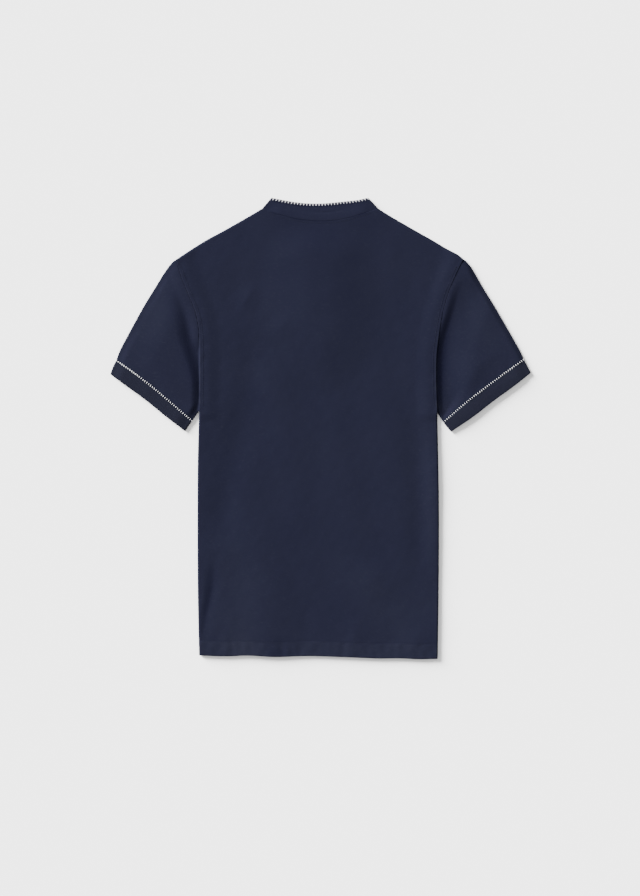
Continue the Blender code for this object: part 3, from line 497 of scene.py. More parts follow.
def front_oval(corner, drop_to):
    """Quarter oval from a corner in to centre front and down to drop_to."""
    (x, y), lean = corner, np.radians(np.linspace(0.0, 90.0, 91))
    return np.column_stack((x * np.cos(lean), y - (y - drop_to) * np.sin(lean)))


# Front neckline: a quarter oval from each side neck down to centre front
FRONT_NECK_LINE = np.concatenate((front_oval(SIDE_NECK_LEFT, FRONT_NECK_Y),
                                  front_oval(SIDE_NECK_RIGHT, FRONT_NECK_Y)[-2::-1]))
FRONT_TOP_LINE = np.concatenate((
    dense(LEFT_SHOULDER)[:-1], FRONT_NECK_LINE, dense(RIGHT_SHOULDER)[1:]))


def normals(grid, wrap):
    """Unit normals: the cross product of the steps across and along the grid."""
    if wrap:
        across = np.roll(grid, -1, axis=1) - np.roll(grid, 1, axis=1)
    else:
        across = np.gradient(grid, axis=1)
    along = np.gradient(grid, axis=0)
    cross = np.cross(across, along)
    return cross / np.linalg.norm(cross, axis=2, keepdims=True)


def rounded(distance):
    """Share of its thickness that cloth keeps near a folded edge, up a quarter round to 1."""
    return EDGE_KEEPS + (1.0 - EDGE_KEEPS) * quarter_round(distance, EDGE_ROUND)


def cloth_piece(name, outer, unit, thick, grain, tone, shade, facing=1, wrap=False,
                left_out=None, open_edge=None):
    """Closed wall between outer and the same grid moved inward along unit by thick.

    open_edge holds each point's distance from a folded edge, where the wall draws to its
    middle. grain is the place of each point on the cut cloth, in millimetres.
    """
    if open_edge is not None:
        kept = thick * rounded(open_edge)
        outer = outer - unit * ((thick - kept) / 2)[:, :, None]
        thick = kept
    inner = outer - unit * thick[:, :, None]
    rows, columns = outer.shape[:2]
    index = np.arange(rows * columns).reshape(rows, columns)
    if wrap:
        beside = np.roll(index, -1, axis=1)
        low, high = index[:-1], index[1:]
        low_beside, high_beside = beside[:-1], beside[1:]
    else:
        low, low_beside = index[:-1, :-1], index[:-1, 1:]
        high, high_beside = index[1:, :-1], index[1:, 1:]
    quads = np.stack((low, low_beside, high_beside, high), axis=-1)
    turned = np.zeros(quads.shape[:2] + (4,))
    if wrap:
        girth = 2.0 * grain[:, :, 0].max()
        turned[:, -1, 1:3] = girth
    keep = np.ones(quads.shape[:2], dtype=bool) if left_out is None else ~left_out
    quads, turned = quads[keep], turned[keep]
    if facing < 0:
        quads, turned = quads[:, ::-1], turned[:, ::-1]
    count = rows * columns
    starts, ends = quads.ravel(), np.roll(quads, -1, axis=1).ravel()
    alone = ~np.isin(starts * count + ends, ends * count + starts)
    rim = np.stack((ends[alone], starts[alone], starts[alone] + count, ends[alone] + count),
                   axis=-1)
    faces = np.concatenate((quads, quads[:, ::-1] + count, rim))
    shift = np.concatenate((turned, turned[:, ::-1], np.zeros((len(rim), 4))))
    points = np.concatenate((outer.reshape(-1, 3), inner.reshape(-1, 3)))
    places = np.tile(grain.reshape(-1, 2), (2, 1))
    tones = np.tile(tone.ravel(), 2)
    used = np.unique(faces)
    corners = np.searchsorted(used, faces)
    mesh = bpy.data.meshes.new(name)
    mesh.from_pydata((points[used] * MM).tolist(), [], corners.tolist())
    layer = mesh.uv_layers.new(name="grain")
    uv = places[used][corners.ravel()]
    uv[:, 0] += shift.ravel()
    layer.data.foreach_set("uv", (uv * MM).astype(np.float32).ravel())
    attribute = mesh.attributes.new("tone", "FLOAT", "POINT")
    attribute.data.foreach_set("value", tones[used].astype(np.float32))
    return finish_piece(name, mesh, shade)


def finish_piece(name, mesh, shade):
    """Object of a mesh, smooth shaded, riding on the shirt and given its material."""
    mesh.materials.append(shade)
    mesh.shade_smooth()
    mesh.set_sharp_from_angle(angle=math.radians(60))
    piece = bpy.data.objects.new(name, mesh)
    bpy.context.scene.collection.objects.link(piece)
    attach(piece, "root")
    return piece


def thread_rings(spine, side, over, girth):
    """Rings of points round each spine point, with the faces of the walls and the two ends.

    A ring point lies to the side by the cosine of its turn and over the spine by its sine,
    both times the girth there.
    """
    around = girth.shape[-1]
    turn = np.arange(around) * 2.0 * math.pi / around
    ring = (np.cos(turn)[:, None] * side[:, :, None] + np.sin(turn)[:, None] * over[:, :, None])
    points = spine[:, :, None] + ring * girth[None, :, :, None]
    index = np.arange(points[..., 0].size).reshape(points.shape[:3])
    beside = np.roll(index, -1, axis=2)
    walls = np.stack((index[:, :-1], index[:, 1:], beside[:, 1:], beside[:, :-1]), axis=-1)
    ends = np.concatenate((index[:, 0], index[:, -1, ::-1]))
    return points.reshape(-1, 3), walls.reshape(-1, 4), ends


def unit_rows(rows):
    """Each row of numbers divided by its length."""
    return rows / np.linalg.norm(rows, axis=-1, keepdims=True)


def stitches(starts, ends, radius, arch, up, taper=0.3):
    """Threads from starts to ends: six-sided rings along each line, lifted by a half sine arch."""
    run = np.array((0.0, 0.07, 0.3, 0.7, 0.93, 1.0))
    girth = np.array((taper, 0.85, 1.0, 1.0, 0.85, taper)) * radius
    line = ends - starts
    heading = unit_rows(line)
    side = unit_rows(np.cross(heading, up))
    over = np.cross(side, heading)
    spine = starts[:, None] + line[:, None] * run[None, :, None]
    spine = spine + over[:, None] * (arch * np.sin(math.pi * run))[None, :, None]
    return thread_rings(spine, side[:, None], over[:, None], np.tile(girth[:, None], (1, 6)))


def thread_line(line, radius):
    """Round thread carried along a line: a ring of eight points at each point of the line."""
    heading = unit_rows(np.gradient(line, axis=0))
    side = unit_rows(np.cross(heading, UP))
    return thread_rings(line[None], side[None], np.cross(side, heading)[None],
                        np.full((len(line), 8), radius))


def thread_piece(name, threads, shade):
    """One piece from threads of one finish, their points and faces put end to end."""
    faces, start = [], 0
    for points, walls, ends in threads:
        faces += (walls + start).tolist() + (ends + start).tolist()
        start += len(points)
    mesh = bpy.data.meshes.new(name)
    points = np.concatenate([part[0] for part in threads])
    mesh.from_pydata((points * MM).tolist(), [], faces)
    return finish_piece(name, mesh, material(shade))


def evenly(line, pitch):
    """Points along a line at an even pitch, fitted to a whole count."""
    run = run_along(line)
    count = max(2, int(round(run[-1] / pitch)))
    return between(line, run, np.linspace(0.0, run[-1], count + 1))


def dashes(line, pitch, gap):
    """Starts and ends of stitches along a line, each shorter than its pitch by the gap."""
    points = evenly(line, pitch)
    starts, ends = points[:-1], points[1:]
    return starts + (ends - starts) * gap / 2, ends - (ends - starts) * gap / 2


# Body panels


def body_axis(length, gap, marks=()):
    """Distances from 0 to length, close at both ends and around each mark, else by the gap."""
    near = np.array(EDGE_RUN)
    inner = np.linspace(near[-1], length - near[-1], int((length - 2 * near[-1]) / gap) + 1)
    places = [near, inner, length - near]
    for low, high, step in marks:
        inner = inner[(inner < low - step * 0.6) | (inner > high + step * 0.6)]
        places[1] = inner
        places.append(np.arange(low, high + step / 2, step))
    return np.unique(np.round(np.concatenate(places), 3))


def body_grid(u, v, top_line, top_x, reach=None):
    """Points of a body panel in X and Y over its hem, sides and top line."""
    hem_x = LEFT_EDGE[0][0] + u * (RIGHT_EDGE[0][0] - LEFT_EDGE[0][0])
    left_y = LEFT_EDGE[0][1] + v * (TIP_LEFT[1] - LEFT_EDGE[0][1])
    right_y = RIGHT_EDGE[0][1] + v * (TIP_RIGHT[1] - RIGHT_EDGE[0][1])
    bottom = np.column_stack((hem_x, y_at(HEM_LINE, hem_x)))
    top = np.column_stack((top_x, y_at(top_line, top_x)))
    left = np.column_stack((x_at(LEFT_LINE, left_y), left_y))
    right = np.column_stack((x_at(RIGHT_LINE, right_y), right_y))
    return coons(bottom, top, left, right, u, v, reach)


def edge_shut(flat):
    """Share by which a panel is drawn to the seam level, and that share on its sides and top."""
    x, y = flat[:, :, 0], flat[:, :, 1]
    side_y = y[:, :1] + 0.0 * y
    side_shut = 1.0 - smooth((side_y - UNDERARM_SHUT_Y) / (UNDERARM_OPEN_Y - UNDERARM_SHUT_Y))
    from_side = np.minimum(x - x[:, :1], x[:, -1:] - x)
    top_x = x[-1:] + 0.0 * x
    from_tip = np.minimum(top_x - TIP_LEFT[0], TIP_RIGHT[0] - top_x)
    from_neck = np.maximum(SIDE_NECK_LEFT[0] - top_x, top_x - SIDE_NECK_RIGHT[0])
    top_shut = smooth(from_tip / SHOULDER_RAMP) * smooth(from_neck / NECK_RAMP)
    from_top = SHOULDER_LEAN * (y[-1:] - y)
    shut = np.maximum(side_shut * (1.0 - quarter_round(from_side, ROLL)),
                      top_shut * (1.0 - quarter_round(from_top, ROLL)))
    open_edge = np.minimum(y - y_at(HEM_LINE, x), FAR)
    open_edge = np.minimum(open_edge, np.where(side_shut < 0.5, from_side * SEWN_EDGE, FAR))
    open_edge = np.minimum(open_edge, np.where(top_shut < 0.5, from_top * SEWN_EDGE, FAR))
    return shut, side_shut, top_shut, from_side, open_edge


def edge_normals(grid, facing, side_shut, top_shut):
    """Normals turned level along the parts of the edge that are rolled shut."""
    unit = normals(grid, False)
    unit = unit * (np.sign(unit[:, :, 2:]) * facing)
    up = np.array((0.0, 0.0, float(facing)))
    for edge, shut, outward in ((np.s_[:, 0], side_shut[:, 0], (-1.0, 0.0, 0.0)),
                                (np.s_[:, -1], side_shut[:, -1], (1.0, 0.0, 0.0)),
                                (np.s_[-1, :], top_shut[-1, :], (0.0, 1.0, 0.0))):
        mixed = shut[:, None] * np.array(outward) + (1.0 - shut[:, None]) * up
        unit[edge] = mixed / np.linalg.norm(mixed, axis=1, keepdims=True)
    return unit


def back_level(x, y):
    """Height of the back panel's upper face away from its rolled edges.

    A base level plus folds, with a stepped hem, a flat neck and a rise over the sleeves.
    """
    cloth = bpy.context.scene.shirt_cloth
    from_hem = y - y_at(HEM_LINE, x)
    height = BACK_LEVEL + fold_height(x, y, BACK_FOLDS)
    height = np.clip(height, BACK_LOWEST, BACK_HIGHEST)
    height = height + fold_height(x, y, BACK_CREASES)
    height = height + cloth.uneven / MM * uneven(x, y, 60.0, 190.0, 11)
    height = height + 0.22 * cloth.uneven / MM * uneven(x, y, 18.0, 46.0, 12)
    in_hem = 1.0 - smooth((from_hem - HEM_DEPTH + 1.5) / 3.0)
    hem_height = np.maximum(height - BACK_LEVEL, -0.25) * 0.8 + HEM_LEVEL + 0.25
    hem_height = hem_height + cloth.pucker / MM * uneven(x, 0.4 * y, 9.0, 24.0, 13)
    height = height + in_hem * (hem_height - height)
    height = height - 0.10 * bell(from_hem - HEM_DEPTH - 0.4, 1.5)
    centre = 1.0 - smooth((np.hypot(x / 115.0, (y - 265.0) / 135.0) - 0.55) / 0.6)
    near_neck = NECK_LEVEL + 0.3 * cloth.uneven / MM * uneven(x, y, 40.0, 120.0, 14)
    height = height + centre * (near_neck - height)
    from_armhole = armhole_distance(x, y)
    over_sleeve = smooth((y - 8.0) / 16.0) * (1.0 - smooth((from_armhole - 11.0) / 24.0))
    height = height + over_sleeve * (ARMHOLE_LEVEL - height)
    at_armhole = smooth((y - 24.0) / 8.0)
    ridge = 0.02 * bell(from_armhole - 2.4, 1.9) - 0.03 * bell(from_armhole - 5.4, 0.9)
    pucker = cloth.pucker / MM * uneven(0.4 * x, y, 10.0, 26.0, 15) * bell(from_armhole - 5.0, 5.0)
    height = height + at_armhole * (ridge + pucker)
    below_neck = y_at(BACK_NECK_LINE, x) - y
    by_neck = (abs(x) < 84.0) * bell(np.maximum(abs(x) - 76.0, 0.0), 4.0)
    height = height - by_neck * 0.10 * bell(below_neck - 3.0, 0.8)
    return height + placket_swell(x, y)


def armhole_distance(x, y):
    """Distance across from the nearer of both side lines."""
    return np.minimum(x - x_at(LEFT_LINE, y), x_at(RIGHT_LINE, y) - x)


def panel_thickness(x, y, from_side):
    """Cloth thickness, doubled in the hem away from the side seams."""
    from_hem = y - y_at(HEM_LINE, x)
    in_hem = (1.0 - smooth((from_hem - HEM_DEPTH) / 2.0)) * smooth((from_side - 1.2) / 5.0)
    return CLOTH + in_hem * (HEM_WALL - CLOTH)


def seam_glint(y, side):
    """Broken painted glint beside an armhole seam, stronger below the middle of the sleeve."""
    broken = np.clip(0.55 + 0.8 * uneven(0.0 * y, y, 9.0, 34.0, 18 + side), 0.0, 1.0)
    return smooth((y - 26.0) / 8.0) * (0.20 + 0.35 * (1.0 - smooth((y - 60.0) / 90.0))) * broken


def panel_tone(x, y, tones):
    """Tone of a panel, all of it painted light and shade.

    Light and shade painted over its folds, a hem painted lighter, painted shade along the hem
    and armhole stitching, a broken painted shadow with faint painted highlights in the neck
    seam, and a painted glint beside the armhole seams.
    """
    from_hem = y - y_at(HEM_LINE, x)
    in_hem = 1.0 - smooth((from_hem - HEM_DEPTH + 1.0) / 2.0)
    # Painted light and shade from the tables, and the hem painted lighter
    tone = fold_height(x, y, tones) + 0.13 * in_hem
    # Painted shade in the groove along the hem stitching
    tone = tone - 0.03 * bell(from_hem - HEM_DEPTH - 0.8, 1.0)
    from_armhole = armhole_distance(x, y)
    glint = np.where(x < 0.0, seam_glint(y, -1), seam_glint(y, 1))
    tone = tone + glint * bell(from_armhole - 1.0, 1.0)
    # Painted shade along the armhole stitching
    tone = tone - 0.03 * smooth((y - 24.0) / 8.0) * bell(from_armhole - 6.4, 1.2)
    # Broken painted shadow along the neck seam, with faint painted highlights where it breaks
    below_neck = y_at(BACK_NECK_LINE, x) - y
    by_neck = bell(np.maximum(abs(x) - 86.0, 0.0), 4.0)
    broken = np.clip(0.5 + 0.7 * uneven(x, 0.0 * y, 9.0, 30.0, 16), 0.0, 1.0)
    return tone + by_neck * (0.06 - 0.36 * broken) * bell(below_neck, 1.0)


def weave_back(shade):
    """Back panel: back_level over the outline, rolled down to the side and shoulder seams."""
    gap = bpy.context.scene.shirt_cloth.point_gap / MM
    u = body_axis(BODY_WIDTH, gap) / BODY_WIDTH
    v = body_axis(BODY_HEIGHT, gap, (UNDERARM_POINTS, FINE_HEM_POINTS)) / BODY_HEIGHT
    flat = body_grid(u, v, BACK_TOP_LINE, TIP_LEFT[0] + u * (TIP_RIGHT[0] - TIP_LEFT[0]))
    x, y = flat[:, :, 0], flat[:, :, 1]
    shut, side_shut, top_shut, from_side, open_edge = edge_shut(flat)
    level = back_level(x, y)
    z = level - shut * (level - SEAM_LEVEL - SEAM_GAP / 2)
    outer = np.dstack((x, y, z))
    unit = edge_normals(outer, 1, side_shut, top_shut)
    return cloth_piece("back_cloth", outer, unit, panel_thickness(x, y, from_side), flat,
                       panel_tone(x, y, BACK_PAINTED_SHADING), shade, open_edge=open_edge)


def weave_front(shade):
    """Front panel: level below, rolled up to the seams, with a slot for the placket."""
    half_slot = STRAP_WIDTH / 2 + SEAM_GAP
    gap = bpy.context.scene.shirt_cloth.point_gap / MM * 1.35
    width = TIP_RIGHT[0] - TIP_LEFT[0]
    u = body_axis(BODY_WIDTH, gap) / BODY_WIDTH
    slot = ((-half_slot - TIP_LEFT[0]) / width, (half_slot - TIP_LEFT[0]) / width)
    columns = [int(np.argmin(abs(u - place))) for place in slot]
    v = body_axis(BODY_HEIGHT, gap, (FRONT_HEM_POINTS,)) / BODY_HEIGHT
    top_x = front_top_places(u, columns, half_slot)
    flat = body_grid(u, v, FRONT_TOP_LINE, top_x, reach=0.3)
    middle = (columns[0] + columns[1]) // 2
    foot = int(np.argmin(abs(flat[:, middle, 1] - SLOT_BOTTOM_Y)))
    lift = smooth((v - 0.35) / 0.2)
    for column, x in ((columns[0], -half_slot), (columns[1], half_slot)):
        push = (x - flat[:, column, 0]) * lift
        spread = np.clip(1.0 - abs(u - u[column]) * width / 60.0, 0.0, 1.0)
        other = columns[1] if column == columns[0] else columns[0]
        spread[other] = 0.0
        flat[:, :, 0] += push[:, None] * spread[None, :]
        flat[foot:, column, 0] = x
    flat[foot, columns[0]:columns[1] + 1, 1] = SLOT_BOTTOM_Y
    x, y = flat[:, :, 0], flat[:, :, 1]
    shut, side_shut, top_shut, from_side, open_edge = edge_shut(flat)
    z = np.maximum(shut * (SEAM_LEVEL - SEAM_GAP / 2), strap_rise(x, y))
    outer = np.dstack((x, y, z))
    unit = edge_normals(outer, -1, side_shut, top_shut)
    cut = np.zeros((len(v) - 1, len(u) - 1), dtype=bool)
    cut[foot:, columns[0]:columns[1]] = True
    return cloth_piece("front_cloth", outer, unit, panel_thickness(x, y, from_side), flat,
                       panel_tone(x, y, ()), shade, facing=-1, left_out=cut,
                       open_edge=open_edge)


def front_top_places(u, columns, half_slot):
    """Places in X of the front's columns on its top line, even in turn along the oval neckline."""
    left_tip, left_neck, right_neck = TIP_LEFT[0], SIDE_NECK_LEFT[0], SIDE_NECK_RIGHT[0]
    width = TIP_RIGHT[0] - left_tip
    top_x = left_tip + u * width
    necks = [int(np.argmin(abs(top_x - place))) for place in (left_neck, right_neck)]
    for low, high, start, stop in ((necks[0], columns[0], left_neck, -half_slot),
                                   (columns[1], necks[1], half_slot, right_neck)):
        outer = left_neck if start < 0.0 else right_neck
        turns = np.linspace(math.acos(start / outer), math.acos(stop / outer), high - low + 1)
        top_x[low:high + 1] = outer * np.cos(turns)
    top_x[columns[0]:columns[1] + 1] = np.linspace(-half_slot, half_slot,
                                                   columns[1] - columns[0] + 1)
    left, right = slice(0, necks[0] + 1), slice(necks[1], len(u))
    top_x[left] = left_tip + u[left] / u[necks[0]] * (left_neck - left_tip)
    share = (u[right] - u[necks[1]]) / (1.0 - u[necks[1]])
    top_x[right] = right_neck + share * (TIP_RIGHT[0] - right_neck)
    return top_x


# Sleeves and cuffs


def ring_places(radius, width, gap):
    """Shares across a flattened tube and its sine round each fold, lower face then upper."""
    turn = np.radians((18.0, 36.0, 54.0, 72.0, 90.0))
    near = radius * (1.0 - np.cos(turn)) / width
    far = 1.0 - near[::-1]
    middle = np.linspace(near[-1], far[0], int(width / gap))[1:-1]
    lower = np.concatenate((near, middle, far))
    share = np.concatenate(([0.0], lower, [1.0], lower[::-1]))
    drop = np.concatenate((np.sin(turn), np.ones(len(middle)), np.sin(turn)[::-1]))
    return share, np.concatenate(([0.0], -drop, [0.0], drop))


def tube_grid(start_line, end_rows, top_rows, under_rows, share, v):
    """Points in X and Y round a flattened tube between two end lines and two fold lines."""
    order = np.argsort(share, kind="stable")
    patch = coons(start_line(share[order]), path(end_rows, share[order]), path(top_rows, v),
                  path(under_rows, v), share[order], v)
    grid = np.empty_like(patch)
    grid[:, order] = patch
    return grid


def tube_grain(flat, share):
    """Place on the cut cloth: distance round the tube and distance along it."""
    half = len(share) // 2
    width = np.linalg.norm(flat[:, half] - flat[:, 0], axis=1)
    around = np.where(np.arange(len(share)) <= half, share, 2.0 - share)
    along = run_along(flat[:, half // 2])
    return np.dstack((around[None, :] * width.mean() + 0.0 * along[:, None],
                      along[:, None] + 0.0 * around[None, :])), width


def left_sleeve_level(beyond, from_outer, y, folds):
    """Height of the left sleeve: up from its outer fold, then down into a trough at the body.

    The trough's slope runs wide and far out at the shoulder, and close to the seam below.
    """
    out = smooth(from_outer / 60.0)
    up = smooth((y - 68.0) / 90.0)
    middle, width = 4.0 + 20.0 * up, 19.0 + 8.0 * up
    depth = 3.2 * smooth((228.0 - y) / 118.0)
    trough = depth * (1.0 - smooth((beyond - middle) / width + 0.5))
    regained = 0.6 * depth * smooth((y - 118.0) / 36.0) * (1.0 - smooth(beyond / 15.0))
    level = 3.6 + 2.1 * out - trough + regained + folds
    return level + smooth((y - 120.0) / 40.0) * (1.0 - smooth(beyond / 22.0)) * 0.8 * (5.5 - level)


def right_sleeve_level(beyond, from_outer, y, folds):
    """Height of the right sleeve: a valley beside the body, then slowly up to its outer fold.

    A narrow strip beside the seam stays high at the shoulder and runs out below it.
    """
    deep = 1.0 - (1.0 - np.clip((236.0 - y) / 125.0, 0.0, 1.0)) ** 2
    strip = -4.0 + 7.5 * smooth((y - 124.0) / 66.0)
    valley = deep * smooth((beyond - strip) / 14.0)
    valley = valley * (1.0 - smooth((beyond - strip - 15.0) / 54.0))
    out = (1.0 - smooth((from_outer - 4.0) / 90.0)) * smooth(beyond / 50.0)
    return 5.5 - 0.9 * out - 2.9 * valley + folds


SLEEVES = {
    "left": {"side": -1, "body": LEFT_LINE, "top": LEFT_SLEEVE_TOP, "under": LEFT_SLEEVE_UNDER,
             "joint": LEFT_JOINT, "cuff_top": LEFT_CUFF_TOP, "cuff_under": LEFT_CUFF_UNDER,
             "mouth": LEFT_MOUTH, "seed": 21, "level": left_sleeve_level, "fold_run": 14.0,
             "creases": LEFT_SLEEVE_CREASES, "tones": LEFT_SLEEVE_PAINTED_SHADING},
    "right": {"side": 1, "body": RIGHT_LINE, "top": RIGHT_SLEEVE_TOP, "under": RIGHT_SLEEVE_UNDER,
              "joint": RIGHT_JOINT, "cuff_top": RIGHT_CUFF_TOP, "cuff_under": RIGHT_CUFF_UNDER,
              "mouth": RIGHT_MOUTH, "seed": 31, "level": right_sleeve_level, "fold_run": 6.0,
              "creases": RIGHT_SLEEVE_CREASES, "tones": RIGHT_SLEEVE_PAINTED_SHADING}}


def sleeve_surface(which):
    """Outer face of a sleeve tube, tucked between the body panels and folded at both sides.

    Its lower face is flat past the tuck. Its upper face is a level plus folds, drawn down
    to the tuck near the body and to the folds at its sides.
    """
    own = SLEEVES[which]
    side, body_line, top_rows, under_rows = (own[key] for key in ("side", "body", "top", "under"))
    share, turn = ring_places(SLEEVE_EDGE / 2, SLEEVE_WIDTH, SLEEVE_POINT_GAP)
    v = np.concatenate(((0.0, 2.5, 5.0, 6.2), np.arange(6.8, 11.4, 0.35), (12.0, 12.8, 13.9, 15.3),
                        np.arange(17.0, SLEEVE_LENGTH - 3.0, 2.1),
                        (SLEEVE_LENGTH - 2.0, SLEEVE_LENGTH - 1.0, SLEEVE_LENGTH - 0.4,
                         SLEEVE_LENGTH))) / SLEEVE_LENGTH

    def tuck_line(shares):
        y = top_rows[0][1] + shares * (under_rows[0][1] - top_rows[0][1])
        points = np.column_stack((x_at(body_line, y) - side * SLEEVE_TUCK, y))
        points[0], points[-1] = top_rows[0], under_rows[0]
        return points

    flat = tube_grid(tuck_line, own["joint"], top_rows, under_rows, share, v)
    x, y = flat[:, :, 0], flat[:, :, 1]
    grain, width = tube_grain(flat, share)
    beyond = side * (x - x_at(body_line, np.maximum(y, UNDERARM_OPEN_Y)))
    past_seam = smooth((beyond + 1.0) / 4.5)
    low = SLEEVE_SEAT * (1.0 - past_seam)
    edge = SLEEVE_EDGE + smooth(v)[:, None] * (SLEEVE_JOINT_EDGE - SLEEVE_EDGE)
    at_cap = past_seam * (1.0 - smooth(beyond / 35.0)) * smooth((y - 150.0) / 60.0)
    edge = edge + 1.6 * at_cap
    cloth = bpy.context.scene.shirt_cloth
    from_outer = share[None, :] * width[:, None]
    folds = fold_height(x, y, own["creases"])
    folds = folds + 0.8 * cloth.uneven / MM * uneven(x, y, 40.0, 120.0, own["seed"])
    level = own["level"](beyond, from_outer, y, folds)
    from_joint = (1.0 - v[:, None]) * SLEEVE_LENGTH * 0.75 + 0.0 * x
    near_joint = 1.0 - smooth(from_joint / 40.0)
    level = level + 0.7 * near_joint * (CUFF_LEVEL - level)
    pucker = cloth.pucker / MM * uneven(x, 0.0 * y, 8.0, 20.0, own["seed"] + 1)
    level = np.maximum(level + pucker * bell(from_joint, 9.0), low + 2.4)
    tuck = np.minimum(np.maximum(level, SLEEVE_SEAT + 2.3), SLEEVE_TUCK_TOP)
    level = tuck + smooth(beyond / 0.32) * (level - tuck)
    from_fold = np.minimum(from_outer, width[:, None] - from_outer)
    full = smooth((from_fold - SLEEVE_EDGE / 2) / own["fold_run"])
    high = low + edge + full * (level - low - edge)
    z = (low + high) / 2 + turn[None, :] * (high - low) / 2
    # Painted light and shade on the upper face from the tables, painted shade at the joint with the
    # cuff, and a broken painted glint beside the armhole seam
    tone = fold_height(x, y, own["tones"]) * (turn[None, :] > 0) - 0.3 * bell(from_joint, 1.0)
    tone = tone + seam_glint(y, side) * bell(beyond - 0.4, 0.7)
    return np.dstack((x, y, z)), grain, from_joint, tone


def cuff_surface(which):
    """Outer face of a cuff tube: flat below, and above a soft roll from joint to mouth."""
    own = SLEEVES[which]
    share, turn = ring_places(CUFF_EDGE / 2, CUFF_WIDTH, CUFF_POINT_GAP)
    down = np.concatenate(((0.05, 0.4, 0.9, 1.5, 2.2), np.arange(3.2, CUFF_DEPTH - 1.8, 1.25),
                           CUFF_DEPTH - np.array((1.3, 0.8, 0.45, 0.2, 0.0))))
    v = down / CUFF_DEPTH
    flat = tube_grid(lambda shares: path(own["joint"], shares), own["mouth"], own["cuff_top"],
                     own["cuff_under"], share, v)
    x, y = flat[:, :, 0], flat[:, :, 1]
    grain, width = tube_grain(flat, share)
    cloth = bpy.context.scene.shirt_cloth
    from_fold = np.minimum(share, 1.0 - share)[None, :] * width[:, None]
    full = smooth((from_fold - CUFF_EDGE / 2) / 20.0)
    swell = 0.22 * np.sin(math.pi * v)[:, None] - 0.30 * bell(down - SEAM_GAP, 1.0)[:, None]
    wave = 0.5 * cloth.uneven / MM * uneven(x, y, 26.0, 80.0, own["seed"] + 2)
    high = CUFF_EDGE + full * (CUFF_LEVEL - CUFF_EDGE + swell + wave)
    z = high / 2 + turn[None, :] * high / 2
    edge = np.minimum(down, CUFF_DEPTH - down)[:, None] + 0.0 * x
    return np.dstack((x, y, z)), grain, edge


def sew_sleeve(which, shade, cuff_shade):
    """Sleeve and cuff of one side, as two walls."""
    side = SLEEVES[which]["side"]
    outer, grain, from_joint, tone = sleeve_surface(which)
    sleeve = cloth_piece("sleeve_cloth_" + which, outer, normals(outer, True) * -side,
                         np.full(outer.shape[:2], CLOTH), grain, tone, shade, facing=-side,
                         wrap=True, open_edge=from_joint)
    outer, grain, edge = cuff_surface(which)
    # The cuff's tone is painted shade along both its edges, at the joint and at the mouth
    cuff = cloth_piece("cuff_cloth_" + which, outer, normals(outer, True) * -side,
                       np.full(outer.shape[:2], BAND), grain, -0.25 * bell(edge, 0.8), cuff_shade,
                       facing=-side, wrap=True, open_edge=edge)
    return sleeve, cuff


# Collar


def collar_lap(from_fold, fold_clear):
    """Depth the band is tucked under the panel edge, and where it comes clear of that edge."""
    butted = from_fold <= COLLAR_UNLAPPED
    tucked = COLLAR_LAP * smooth((from_fold - COLLAR_UNLAPPED) / 7.0)
    lap = np.where(butted, -fold_clear, tucked)
    clear = np.where(butted, fold_clear + COLLAR_CLEAR, COLLAR_CLEAR)
    return lap, clear


def collar_rows(lower_line, upper_line, run, lap, clear, shares):
    """Rows of points up a half band, and each row's height above the seam in millimetres."""
    places = run / run_along(lower_line)[-1]
    lower, upper = (between(line, lengths(line), places) for line in (lower_line, upper_line))
    rise = upper - lower
    height = np.linalg.norm(rise, axis=1)
    below = np.array((0.0, 0.3, 0.6, 0.8, 0.88, 0.925, 0.955, 0.98))[:, None]
    up = np.concatenate((-lap + below * (clear + lap), clear + shares[:, None] * (height - clear)))
    return lower[None] + (rise / height[:, None])[None] * up[:, :, None], up, height


def fold_drop(run):
    """Height of the round of the collar fold over its lower face, at a distance from the fold."""
    return COLLAR_FOLD_RADIUS * (1.0 - quarter_round(run, COLLAR_FOLD_RADIUS))


